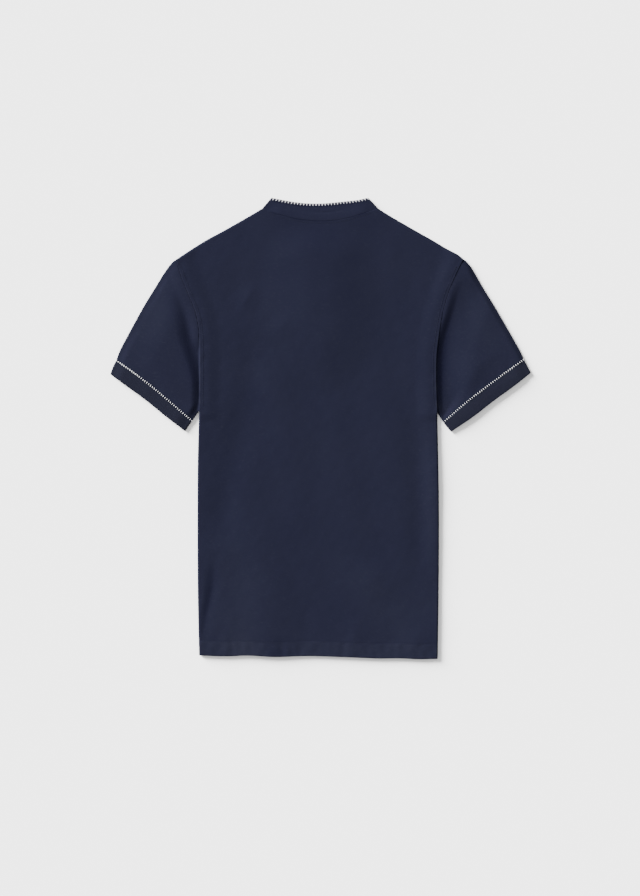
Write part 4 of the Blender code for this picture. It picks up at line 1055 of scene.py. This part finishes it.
def collar_surface():
    """Outer face of the collar from one front end round both folds to the other.

    The front halves lie flat below, and the back half slopes from the neck seam down to
    its top edge at the centre.
    """
    shares = np.concatenate((np.linspace(0.0, 0.94, 22), (0.955, 0.97, 0.982, 0.992, 1.0)))
    bend = COLLAR_FOLD_RADIUS * (1.0 - np.cos(np.radians((0.0, 20.0, 40.0, 60.0, 78.0, 90.0))))
    parts = []
    for side in (-1, 1):
        half = len(FRONT_NECK_LINE) // 2
        lower = FRONT_NECK_LINE[:half + 1] if side < 0 else FRONT_NECK_LINE[half:][::-1]
        corner = COLLAR_TOP[0] if side < 0 else COLLAR_TOP[-1]
        stop = run_along(lower)[-1] - COLLAR_END_X
        run = np.concatenate((bend, np.arange(3.6, stop - 3.0, 2.3),
                              stop - np.array((2.0, 1.2, 0.6, 0.25, 0.0))))
        lap, clear = collar_lap(run, FRONT_FOLD_CLEAR)
        upper = front_oval(corner, FRONT_NECK_Y + COLLAR_FRONT_HEIGHT)
        rows, up, height = collar_rows(lower, upper, run, lap, clear, shares)
        drop = 0.4 * (1.0 - quarter_round(stop - run, COLLAR_CORNER))
        share_up = np.clip((up - clear) / (height - clear), 0.0, 1.0)
        rows = rows - (rows - rows[4]) * (drop * share_up)[:, :, None]
        seat = COLLAR_SEAT * smooth((run - 3.0) / 8.0)
        z = seat * (1.0 - smooth((up - 1.0) / 5.0)) + fold_drop(run)
        edge = np.minimum((1.0 - share_up) * height, stop - run)
        parts.append((rows, z, edge, side * (run + 95.0) + 0.0 * up, up))
    length = run_along(BACK_NECK_LINE)[-1]
    run = np.concatenate((bend[1:], np.arange(3.6, length - 3.0, 2.3), length - bend[:0:-1]))
    from_fold = np.minimum(run, length - run)
    lap, clear = collar_lap(from_fold, BACK_FOLD_CLEAR)
    rows, up, height = collar_rows(BACK_NECK_LINE, COLLAR_TOP_LINE, run, lap, clear, shares)
    share_up = np.clip(up / height, 0.0, 1.0)
    inward = smooth((from_fold - 4.0) / 26.0)
    z = 2.0 * COLLAR_FOLD_RADIUS - fold_drop(from_fold)
    z = z + (COLLAR_TOP_AT_SEAM - 2 * COLLAR_FOLD_RADIUS) * inward
    z = z - inward * smooth(share_up) * (COLLAR_TOP_AT_SEAM - COLLAR_TOP_AT_EDGE)
    x, y = rows[:, :, 0], rows[:, :, 1]
    crease = 0.20 * bell(up - 14.0, 1.1) * bell(x - 10.0, 28.0)
    wave = 0.10 * uneven(x, y, 22.0, 70.0, 41) * np.clip(share_up, 0.0, 1.0)
    tucked = 0.72 * (1.0 - smooth((up - 0.02) / 0.32))
    z = z + inward * (wave * (1.0 - share_up * 0.6) - crease - tucked)
    back = (rows, z, (1.0 - share_up) * height, (run - length / 2) + 0.0 * up, up)
    flat, z, edge, across, up = (
        np.concatenate((parts[0][k][:, ::-1], back[k], parts[1][k]), axis=1) for k in range(5))
    return np.dstack((flat, z)), edge, np.dstack((across, up))


def sew_collar(shade):
    """Collar wall: a doubled band with a rounded top edge and front ends."""
    outer, edge, grain = collar_surface()
    # Broken painted shadow along the neck seam, with faint painted light where it breaks, and the
    # whole band painted a little darker
    broken = uneven(grain[:, :, 0], 0.0 * edge, 10.0, 40.0, 17)
    tone = (0.10 - 0.25 * np.clip(0.5 + 0.8 * broken, 0.0, 1.0)) * bell(grain[:, :, 1], 1.0) - 0.07
    return cloth_piece("collar_cloth", outer, normals(outer, False), np.full(outer.shape[:2], BAND),
                       grain, tone, shade, open_edge=edge)


# Placket


def strap_grid(half_width, low_y, high_y, base):
    """Lower face of a placket strap: level, rising over each button."""
    edge = np.array((0.0, 0.3, 0.7, 1.2))
    x = np.concatenate((-half_width + edge, np.linspace(-half_width + 2.2, half_width - 2.2, 17),
                        half_width - edge[::-1]))
    y = np.concatenate((low_y + edge, np.linspace(low_y + 2.2, high_y - 2.2, 90),
                        high_y - edge[::-1]))
    x, y = np.meshgrid(x, y)
    from_edge = np.minimum(half_width - abs(x), np.minimum(y - low_y, high_y - y))
    return np.dstack((x, y, base + strap_rise(x, y))), from_edge


def sew_strap(name, half_width, low_y, high_y, base, shade):
    """Placket strap wall of doubled cloth, with rounded edges."""
    outer, from_edge = strap_grid(half_width, low_y, high_y, base)
    unit = np.zeros_like(outer)
    unit[:, :, 2] = -1.0
    # Painted shade along the strap's edges
    return cloth_piece(name, outer, unit, np.full(outer.shape[:2], BAND), outer[:, :, :2],
                       -0.1 * bell(from_edge, 1.0), shade, facing=-1, open_edge=from_edge)


# Materials


def fill(tree, node, **values):
    """Give a node its settings and inputs by name; an input also takes another node's output."""
    for key, value in values.items():
        socket = node.inputs.get(key.replace("_", " "))
        if socket is None:
            setattr(node, key, value)
        elif isinstance(value, bpy.types.NodeSocket):
            tree.links.new(value, socket)
        else:
            socket.default_value = value
    return node


def add_node(tree, kind, **values):
    """New node of a kind with its settings and inputs."""
    return fill(tree, tree.nodes.new(kind), **values)


def shader_of(name):
    """New material: its node tree, its Principled shader and the place on the piece."""
    made = bpy.data.materials.new(name)
    made.use_nodes = True
    tree = made.node_tree
    place = add_node(tree, "ShaderNodeTexCoord").outputs["Object"]
    return tree, tree.nodes["Principled BSDF"], place


def math_node(tree, operation, first, second):
    """Result of a sum, product or other operation over two outputs or numbers."""
    node = add_node(tree, "ShaderNodeMath", operation=operation)
    for socket, value in zip(node.inputs, (first, second)):
        if isinstance(value, bpy.types.NodeSocket):
            tree.links.new(value, socket)
        else:
            socket.default_value = value
    return node.outputs[0]


def weigh(tree, start, *parts):
    """Start plus each part's output times its weight."""
    for output, weight in parts:
        start = math_node(tree, "ADD", start, math_node(tree, "MULTIPLY", output, weight))
    return start


def noise(tree, place, **values):
    """Fine random pattern, from about 0.3 to 0.7."""
    return add_node(tree, "ShaderNodeTexNoise", Vector=place, **values).outputs["Fac"]


def spread(tree, value, low, high, to_low, to_high):
    """Value mapped from one range to another and held at both ends."""
    return add_node(tree, "ShaderNodeMapRange", Value=value, From_Min=low, From_Max=high,
                    To_Min=to_low, To_Max=to_high).outputs[0]


def ramp(tree, value, low, high, dark, light):
    """Colour that runs from dark to light as the value goes from low to high."""
    node = add_node(tree, "ShaderNodeValToRGB", Fac=value)
    for element, position, colour in zip(node.color_ramp.elements, (low, high), (dark, light)):
        element.position = position
        element.color = (*colour, 1.0)
    return node.outputs["Color"]


def bumps(tree, height, strength, distance):
    """Normal of a surface with fine bumps."""
    return add_node(tree, "ShaderNodeBump", Strength=strength, Distance=distance,
                    Height=height).outputs[0]


def knit(name, colour, pitch, rib=0.0):
    """Pique knit: staggered dimpled cells, fine fuzz, and tones that drift over the cloth.

    The cells follow the cloth's own grain. rib adds narrow ribs across the band. The tone is
    a weighed sum of noises and dimples, the dimples' share painted light on the raised cells and
    painted shade between them, times one plus the painted light and shade kept at each point.
    Red and green take the tone and blue its square root, so that dark places, most of them
    painted shade, stay blue.
    """
    tree, shader, place = shader_of(name)
    grain = add_node(tree, "ShaderNodeUVMap", uv_map="grain").outputs[0]
    turned = add_node(tree, "ShaderNodeMapping", Vector=grain, Scale=(1.0, 0.72, 1.0),
                      Rotation=(0.0, 0.0, math.radians(45.0)), vector_type="TEXTURE")
    cells = add_node(tree, "ShaderNodeTexVoronoi", voronoi_dimensions="2D",
                     Vector=turned.outputs[0], Scale=1.0 / pitch, Randomness=0.18)
    fuzz = noise(tree, place, Scale=1500.0, Detail=3.0, Roughness=0.65)
    drift = noise(tree, place, Scale=9.0, Detail=4.0, Roughness=0.6)
    mottle = noise(tree, place, Scale=160.0, Detail=5.0, Roughness=0.7)
    stretched = add_node(tree, "ShaderNodeMapping", Vector=place, Scale=(0.35, 1.0, 1.0))
    slub = noise(tree, stretched.outputs[0], Scale=620.0, Detail=1.0)
    fleck = spread(tree, slub, 0.60, 0.74, 0.0, 0.30)
    dimple = spread(tree, cells.outputs["Distance"], 0.05, 0.75, 1.0, 0.0)
    height = weigh(tree, math_node(tree, "MULTIPLY", dimple, 0.75), (fuzz, 0.5))
    if rib:
        across = add_node(tree, "ShaderNodeSeparateXYZ", Vector=grain).outputs[0]
        turn = math_node(tree, "MULTIPLY", across, 2.0 * math.pi / rib)
        height = weigh(tree, height, (math_node(tree, "SINE", turn, 0.0), 0.45))
    # Tone: the yarn's own drift, mottle and flecks, plus the dimples' painted light on the raised
    # cells and painted shade between them
    tone = weigh(tree, 0.52, (drift, 0.30), (mottle, 0.36), (dimple, 0.22), (fleck, 1.0))
    # Painted light and shade kept at each point of the cloth, in its tone attribute
    painted_light_and_shade = add_node(tree, "ShaderNodeAttribute", attribute_name="tone").outputs["Fac"]
    tone = math_node(tree, "MULTIPLY", tone, math_node(tree, "ADD", painted_light_and_shade, 1.0))
    grey = add_node(tree, "ShaderNodeCombineColor", Red=tone, Green=tone,
                    Blue=math_node(tree, "POWER", tone, 0.5))
    dyed = add_node(tree, "ShaderNodeMix", data_type="RGBA", blend_type="MULTIPLY", Factor=1.0)
    dyed.inputs[6].default_value = (*colour, 1.0)
    tree.links.new(grey.outputs[0], dyed.inputs[7])
    fill(tree, shader, Base_Color=dyed.outputs[2], Normal=bumps(tree, height, 0.55, 0.00022),
         Roughness=spread(tree, mottle, 0.0, 1.0, 0.82, 0.98), Specular_IOR_Level=0.03,
         Sheen_Weight=0.004, Sheen_Roughness=0.45, Sheen_Tint=(0.55, 0.62, 0.9, 1.0))


def thread(name, colour, sheen):
    """Twisted thread: slanted fine ridges, a little fuzz and uneven tone."""
    tree, shader, place = shader_of(name)
    twist = add_node(tree, "ShaderNodeTexWave", Vector=place, Scale=900.0, Distortion=1.5,
                     Detail=1.0, bands_direction="DIAGONAL").outputs["Fac"]
    height = weigh(tree, twist, (noise(tree, place, Scale=2600.0, Detail=2.0), 0.6))
    worn = noise(tree, place, Scale=240.0, Detail=3.0)
    dark = [0.86 * part for part in colour]
    fill(tree, shader, Base_Color=ramp(tree, worn, 0.3, 0.7, dark, colour), Roughness=0.8,
         Normal=bumps(tree, height, 0.5, 0.00012), Specular_IOR_Level=0.03, Sheen_Weight=sheen)


def moulding(name, dark, light):
    """Moulded plastic: faint swirls of tone under a satin surface with fine scuffs."""
    tree, shader, place = shader_of(name)
    swirl = noise(tree, place, Scale=320.0, Detail=4.0, Distortion=1.6)
    scuff = noise(tree, place, Scale=1800.0, Detail=2.0)
    fill(tree, shader, Base_Color=ramp(tree, swirl, 0.35, 0.65, dark, light),
         Roughness=spread(tree, scuff, 0.0, 1.0, 0.22, 0.46),
         Normal=bumps(tree, scuff, 0.15, 0.00005))


def paper(name, colour):
    """Plain matt floor with a barely visible grain."""
    tree, shader, place = shader_of(name)
    grain = noise(tree, place, Scale=60.0, Detail=2.0)
    dark = [0.99 * part for part in colour]
    fill(tree, shader, Base_Color=ramp(tree, grain, 0.0, 1.0, dark, colour), Roughness=0.9,
         Specular_IOR_Level=0.1)


def material(name):
    """Material of a name, made at its first use: how it is made and what it takes."""
    scene = bpy.context.scene
    cloth, sewing = scene.shirt_cloth, scene.shirt_stitching
    recipes = {
        "navy_pique": (knit, cloth.navy, cloth.knit_pitch),
        "navy_cuff": (knit, cloth.cuff_navy, cloth.knit_pitch * 0.8, CUFF_RIB * MM),
        "white_thread": (thread, sewing.white, 0.1),
        "navy_thread": (thread, sewing.navy, 0.004),
        "button_moulding": (moulding, (0.008, 0.010, 0.022), (0.018, 0.021, 0.040)),
        "floor_paper": (paper, scene.shirt_stage.floor)}
    if name not in bpy.data.materials:
        make, *values = recipes[name]
        make(name, *values)
    return bpy.data.materials[name]


# Stitch lines


def on_back(line):
    """Line in X and Y set on the back panel's upper face, sunk a little."""
    return np.column_stack((line, back_level(line[:, 0], line[:, 1]) - 0.02))


def on_front(line):
    """Line in X and Y set on the lower face of the front and the placket, pressed into it."""
    return np.column_stack((line, strap_rise(line[:, 0], line[:, 1]) + FRONT_STITCH_LIFT))


def hem_line():
    """Line of the hem's stitches, ending inside both side seams."""
    x = np.linspace(LEFT_EDGE[0][0] + HEM_STITCH_INSET, RIGHT_EDGE[0][0] - HEM_STITCH_INSET, 260)
    return np.column_stack((x, y_at(HEM_LINE, x) + HEM_DEPTH))


def armhole_lines():
    """Lines inside both armhole edges, from just above the underarm to below the shoulder."""
    y = np.linspace(*ARMHOLE_STITCH_YS, 180)
    return [np.column_stack((x_at(line, y) + inset, y))
            for line, inset in ((LEFT_LINE, ARMHOLE_INSET), (RIGHT_LINE, -ARMHOLE_INSET))]


def neck_line():
    """Line below the back neck seam, clear of both side necks."""
    x = np.linspace(SIDE_NECK_LEFT[0] + 12.0, SIDE_NECK_RIGHT[0] - 12.0, 160)
    return np.column_stack((x, y_at(BACK_NECK_LINE, x) - NECK_STITCH_DROP))


def stitch_run(line, up):
    """Row of navy topstitches along a line."""
    sewing = bpy.context.scene.shirt_stitching
    starts, ends = dashes(line, sewing.topstitch / MM, STITCH_GAP)
    return stitches(starts, ends, sewing.top_thread / MM, 0.12, up)


def sew_back_stitching():
    """Topstitching of the hem, armholes and neck on the back panel."""
    lines = [hem_line(), *armhole_lines(), neck_line()]
    thread_piece("back_stitching", [stitch_run(on_back(line), UP) for line in lines],
                 "navy_thread")


def sew_front_stitching():
    """Topstitching of the hem, armholes and neck on the front panel."""
    half = len(FRONT_NECK_LINE) // 2
    away = unit_rows(np.gradient(FRONT_NECK_LINE, axis=0))
    neck = FRONT_NECK_LINE + FRONT_NECK_INSET * np.column_stack((away[:, 1], -away[:, 0]))
    lines = [hem_line(), *armhole_lines(), neck[18:half - 14], neck[half + 15:-18]]
    thread_piece("front_stitching", [stitch_run(on_front(line), DOWN) for line in lines],
                 "navy_thread")


def sew_placket_stitching():
    """Topstitching round the upper placket strap, a box at its foot, and buttonhole bars."""
    inset = STRAP_WIDTH / 2 - STRAP_STITCH_INSET
    low = SLOT_BOTTOM_Y + SEAM_GAP + STRAP_STITCH_INSET
    high = FRONT_NECK_Y - STRAP_STITCH_DROP
    y, across = np.linspace(low, high, 120), np.linspace(-inset, inset, 30)
    lines = [np.column_stack((np.full_like(y, side * inset), y)) for side in (-1, 1)]
    lines += [np.column_stack((across, np.full_like(across, place)))
              for place in (low, low + STRAP_BOX)]
    threads = [stitch_run(on_front(line), DOWN) for line in lines]
    for button_y in BUTTON_YS:
        for end in (-1, 1):
            bar_y = button_y + end * np.linspace(*BUTTONHOLE_BAR, 4)
            starts = np.column_stack((np.full(4, -BUTTONHOLE_BAR_HALF), bar_y,
                                      np.full(4, BUTTON_LIFT + 0.1)))
            threads.append(stitches(starts, starts * (-1.0, 1.0, 1.0), 0.2, 0.1, DOWN))
    thread_piece("placket_stitching", threads, "navy_thread")


def sew_button_thread():
    """Two crossed stitches through the holes of each button."""
    reach = BUTTON_HOLE_REACH * math.sqrt(0.5)
    starts, ends = [], []
    for button_y in BUTTON_YS:
        for way in (-1, 1):
            starts.append((-reach, button_y - way * reach, BUTTON_THREAD_LEVEL))
            ends.append((reach, button_y + way * reach, BUTTON_THREAD_LEVEL - 0.14 * (way + 1)))
    crossed = stitches(np.array(starts), np.array(ends), 0.28, 0.05, DOWN, taper=0.8)
    thread_piece("button_thread", [crossed], "navy_thread")


def sew_ladder(which):
    """White bars across the joint of a sleeve and its cuff, on both faces.

    Each bar runs from a point on the sleeve to one on the cuff, and leans a little from
    its neighbours. Towards the outer fold of the left sleeve a cord ties the bars to a line.
    """
    sewing = bpy.context.scene.shirt_stitching
    radius, pitch = sewing.edging_thread / MM, sewing.ladder_pitch / MM
    sleeve, cuff = sleeve_surface(which)[0], cuff_surface(which)[0]
    chance = np.random.default_rng(SLEEVES[which]["seed"] + 5)
    half, cuff_half = sleeve.shape[1] // 2, cuff.shape[1] // 2
    threads = []
    for sleeve_part, cuff_part, up, sink in (
            (sleeve[:, half:], cuff[:, cuff_half:], UP, 0.05),
            (sleeve[:, :half + 1], cuff[:, :cuff_half + 1], DOWN, 0.55)):
        lines = (sleeve_part[-1, 3:-3], cuff_part[5, 3:-3])
        count = min(len(evenly(line, pitch)) for line in lines)
        share = np.linspace(0.0, 1.0, count)
        joint, beyond = (between(line, lengths(line), share)
                         for line in (evenly(line, 1.0) for line in lines))
        heading = unit_rows((beyond - joint) * (1.0, 1.0, 0.0))
        lean = np.gradient(joint, axis=0) * chance.uniform(-0.10, 0.10, count)[:, None]
        reach = heading * chance.uniform(1.15, 1.4, count)[:, None]
        centre = joint + heading * 0.15 - up * sink
        threads.append(stitches(centre - reach + lean, centre + reach - lean, radius, 0.28, up,
                                taper=0.55))
        if which == "left" and up is UP:
            cord = evenly(centre[share > CORD_FROM] + up * 0.15, 1.0)
            threads.append(thread_line(cord, radius * 0.45))
    thread_piece("ladder_" + which, threads, "white_thread")


def sew_edging():
    """White blanket stitch on the collar's top edge: short legs over it from a thread below it."""
    sewing = bpy.context.scene.shirt_stitching
    radius = sewing.edging_thread / MM
    outer = collar_surface()[0]
    unit = normals(outer, False)[-1]
    top, heading = outer[-1] - unit * BAND / 2, unit_rows(outer[-1] - outer[-4])
    rope = thread_line(evenly(top - heading * 0.1 - unit * BAND * 0.3, 0.8), radius * 0.5)
    legs = evenly(np.column_stack((top, heading, unit)), sewing.edging_pitch / MM)[1:-1]
    top, heading, unit = legs[:, :3], legs[:, 3:6], legs[:, 6:9]
    high = top + heading * LEG_RISE + unit * BAND * 0.3
    low = top - heading * LEG_LENGTH + unit * (BAND / 2 + 0.02)
    teeth = stitches(high, low, radius * LEG_FATTER, 0.25, UP, taper=0.6)
    thread_piece("collar_edging", [rope, teeth], "white_thread")


# Operators


class SHIRT_OT_back(bpy.types.Operator):
    """Weave the back panel."""

    bl_idname = "shirt.back"
    bl_label = "Back panel"

    def execute(self, context):
        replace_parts(weave_back(material("navy_pique")), "back")
        return {"FINISHED"}


class SHIRT_OT_front(bpy.types.Operator):
    """Weave the front panel and its placket straps."""

    bl_idname = "shirt.front"
    bl_label = "Front panel and placket"

    def execute(self, context):
        knitted = material("navy_pique")
        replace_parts(weave_front(knitted), "front")
        upper = sew_strap("placket_upper_cloth", STRAP_WIDTH / 2, SLOT_BOTTOM_Y + SEAM_GAP,
                          FRONT_NECK_Y - SEAM_GAP, 0.0, knitted)
        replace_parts(upper, "placket_upper")
        under = sew_strap("placket_under_cloth", UNDER_STRAP_WIDTH / 2, SLOT_BOTTOM_Y - 6.0,
                          FRONT_NECK_Y - COLLAR_LAP - 0.8, COLLAR_SEAT, knitted)
        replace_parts(under, "placket_under")
        return {"FINISHED"}


class SHIRT_OT_sleeves(bpy.types.Operator):
    """Weave both sleeves and their cuffs."""

    bl_idname = "shirt.sleeves"
    bl_label = "Sleeves and cuffs"

    def execute(self, context):
        for which in SLEEVES:
            sleeve, cuff = sew_sleeve(which, material("navy_pique"), material("navy_cuff"))
            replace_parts(sleeve, "sleeve_" + which)
            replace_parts(cuff, "cuff_" + which)
        return {"FINISHED"}


class SHIRT_OT_collar(bpy.types.Operator):
    """Weave the standing collar."""

    bl_idname = "shirt.collar"
    bl_label = "Collar"

    def execute(self, context):
        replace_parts(sew_collar(material("navy_pique")), "collar")
        return {"FINISHED"}


class SHIRT_OT_buttons(bpy.types.Operator):
    """Give the buttons their finish and sew them on."""

    bl_idname = "shirt.buttons"
    bl_label = "Buttons"

    def execute(self, context):
        for place in range(len(BUTTON_YS)):
            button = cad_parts["button_" + str(place + 1)]
            button.data.materials.clear()
            button.data.materials.append(material("button_moulding"))
        sew_button_thread()
        return {"FINISHED"}


class SHIRT_OT_stitching(bpy.types.Operator):
    """Sew the topstitching, the collar edging and the cuff ladders."""

    bl_idname = "shirt.stitching"
    bl_label = "Stitching"

    def execute(self, context):
        sew_back_stitching()
        sew_front_stitching()
        sew_placket_stitching()
        sew_edging()
        for which in SLEEVES:
            sew_ladder(which)
        return {"FINISHED"}


class SHIRT_OT_sheets(bpy.types.Operator):
    """Step that does nothing."""

    bl_idname = "shirt.sheets"
    bl_label = "Cut sizes"

    def execute(self, context):
        return {"FINISHED"}


class SHIRT_OT_stage(bpy.types.Operator):
    """Lay the floor, hang the lights and set the camera overhead."""

    bl_idname = "shirt.stage"
    bl_label = "Floor, lights and camera"

    def execute(self, context):
        stage = context.scene.shirt_stage
        lay_floor(stage)
        hang_lights(stage)
        set_camera(stage)
        return {"FINISHED"}


def lay_floor(stage):
    """Square floor just below the cloth."""
    half = stage.floor_width / 2
    mesh = bpy.data.meshes.new("floor")
    signs = ((-1, -1), (1, -1), (1, 1), (-1, 1))
    corners = [(half * x, half * y, FLOOR_LEVEL) for x, y in signs]
    mesh.from_pydata(corners, [], [(0, 1, 2, 3)])
    mesh.materials.append(material("floor_paper"))
    floor = bpy.data.objects.new("floor", mesh)
    bpy.context.scene.collection.objects.link(floor)


def hang_lights(stage):
    """Broad soft key light low at the upper left, and the even light of a white room.

    The lamp leans over by a right angle less its rise, and turns so that it shines from
    its place towards the shirt.
    """
    light = bpy.data.lights.new("key_light", "SUN")
    light.energy = stage.key_strength
    light.angle = stage.key_spread
    lamp = bpy.data.objects.new("key_light", light)
    bpy.context.scene.collection.objects.link(lamp)
    lamp.rotation_euler = (math.pi / 2 - stage.key_rise, 0.0, -math.pi / 2 - stage.key_turn)
    world = bpy.data.worlds.new("room")
    world.use_nodes = True
    background = world.node_tree.nodes["Background"]
    background.inputs["Color"].default_value = (1.0, 1.0, 1.0, 1.0)
    background.inputs["Strength"].default_value = stage.room_strength
    bpy.context.scene.world = world


def set_camera(stage):
    """Camera straight above the middle of the picture, its long side up the shirt."""
    camera = bpy.data.cameras.new("camera")
    camera.sensor_fit = "AUTO"
    camera.sensor_width = 36.0
    seen_height = stage.frame_width * stage.picture_height / stage.picture_width
    camera.lens = camera.sensor_width * stage.camera_height / seen_height
    camera.clip_end = 50.0
    eye = bpy.data.objects.new("camera", camera)
    bpy.context.scene.collection.objects.link(eye)
    eye.location = (*PICTURE_MIDDLE, stage.camera_height)
    bpy.context.scene.camera = eye


OPERATORS = (SHIRT_OT_back, SHIRT_OT_front, SHIRT_OT_sleeves, SHIRT_OT_collar, SHIRT_OT_buttons,
             SHIRT_OT_stitching, SHIRT_OT_sheets, SHIRT_OT_stage)
GROUPS = (("shirt_cloth", ShirtCloth), ("shirt_stitching", ShirtStitching),
          ("shirt_stage", ShirtStage))


class SHIRT_PT_panel(bpy.types.Panel):
    """Sizes, colours and steps of the shirt."""

    bl_idname = "SHIRT_PT_panel"
    bl_label = "Mandarin collar shirt"
    bl_space_type = "VIEW_3D"
    bl_region_type = "UI"
    bl_category = "Shirt"

    def draw(self, context):
        for attribute, group in GROUPS:
            box = self.layout.box()
            for name in group.__annotations__:
                box.prop(getattr(context.scene, attribute), name)
        for operator in OPERATORS:
            self.layout.operator(operator.bl_idname)


def register():
    """Register the groups, operators and panel."""
    for attribute, group in GROUPS:
        bpy.utils.register_class(group)
        setattr(bpy.types.Scene, attribute, PointerProperty(type=group))
    for made in (*OPERATORS, SHIRT_PT_panel):
        bpy.utils.register_class(made)


def unregister():
    """Unregister the panel, operators and groups."""
    for made in (SHIRT_PT_panel, *reversed(OPERATORS)):
        bpy.utils.unregister_class(made)
    for attribute, group in reversed(GROUPS):
        delattr(bpy.types.Scene, attribute)
        bpy.utils.unregister_class(group)


def main():
    register()
    for operator in OPERATORS:
        family, name = operator.bl_idname.split(".")
        getattr(getattr(bpy.ops, family), name)()


if __name__ == "__main__":
    main()
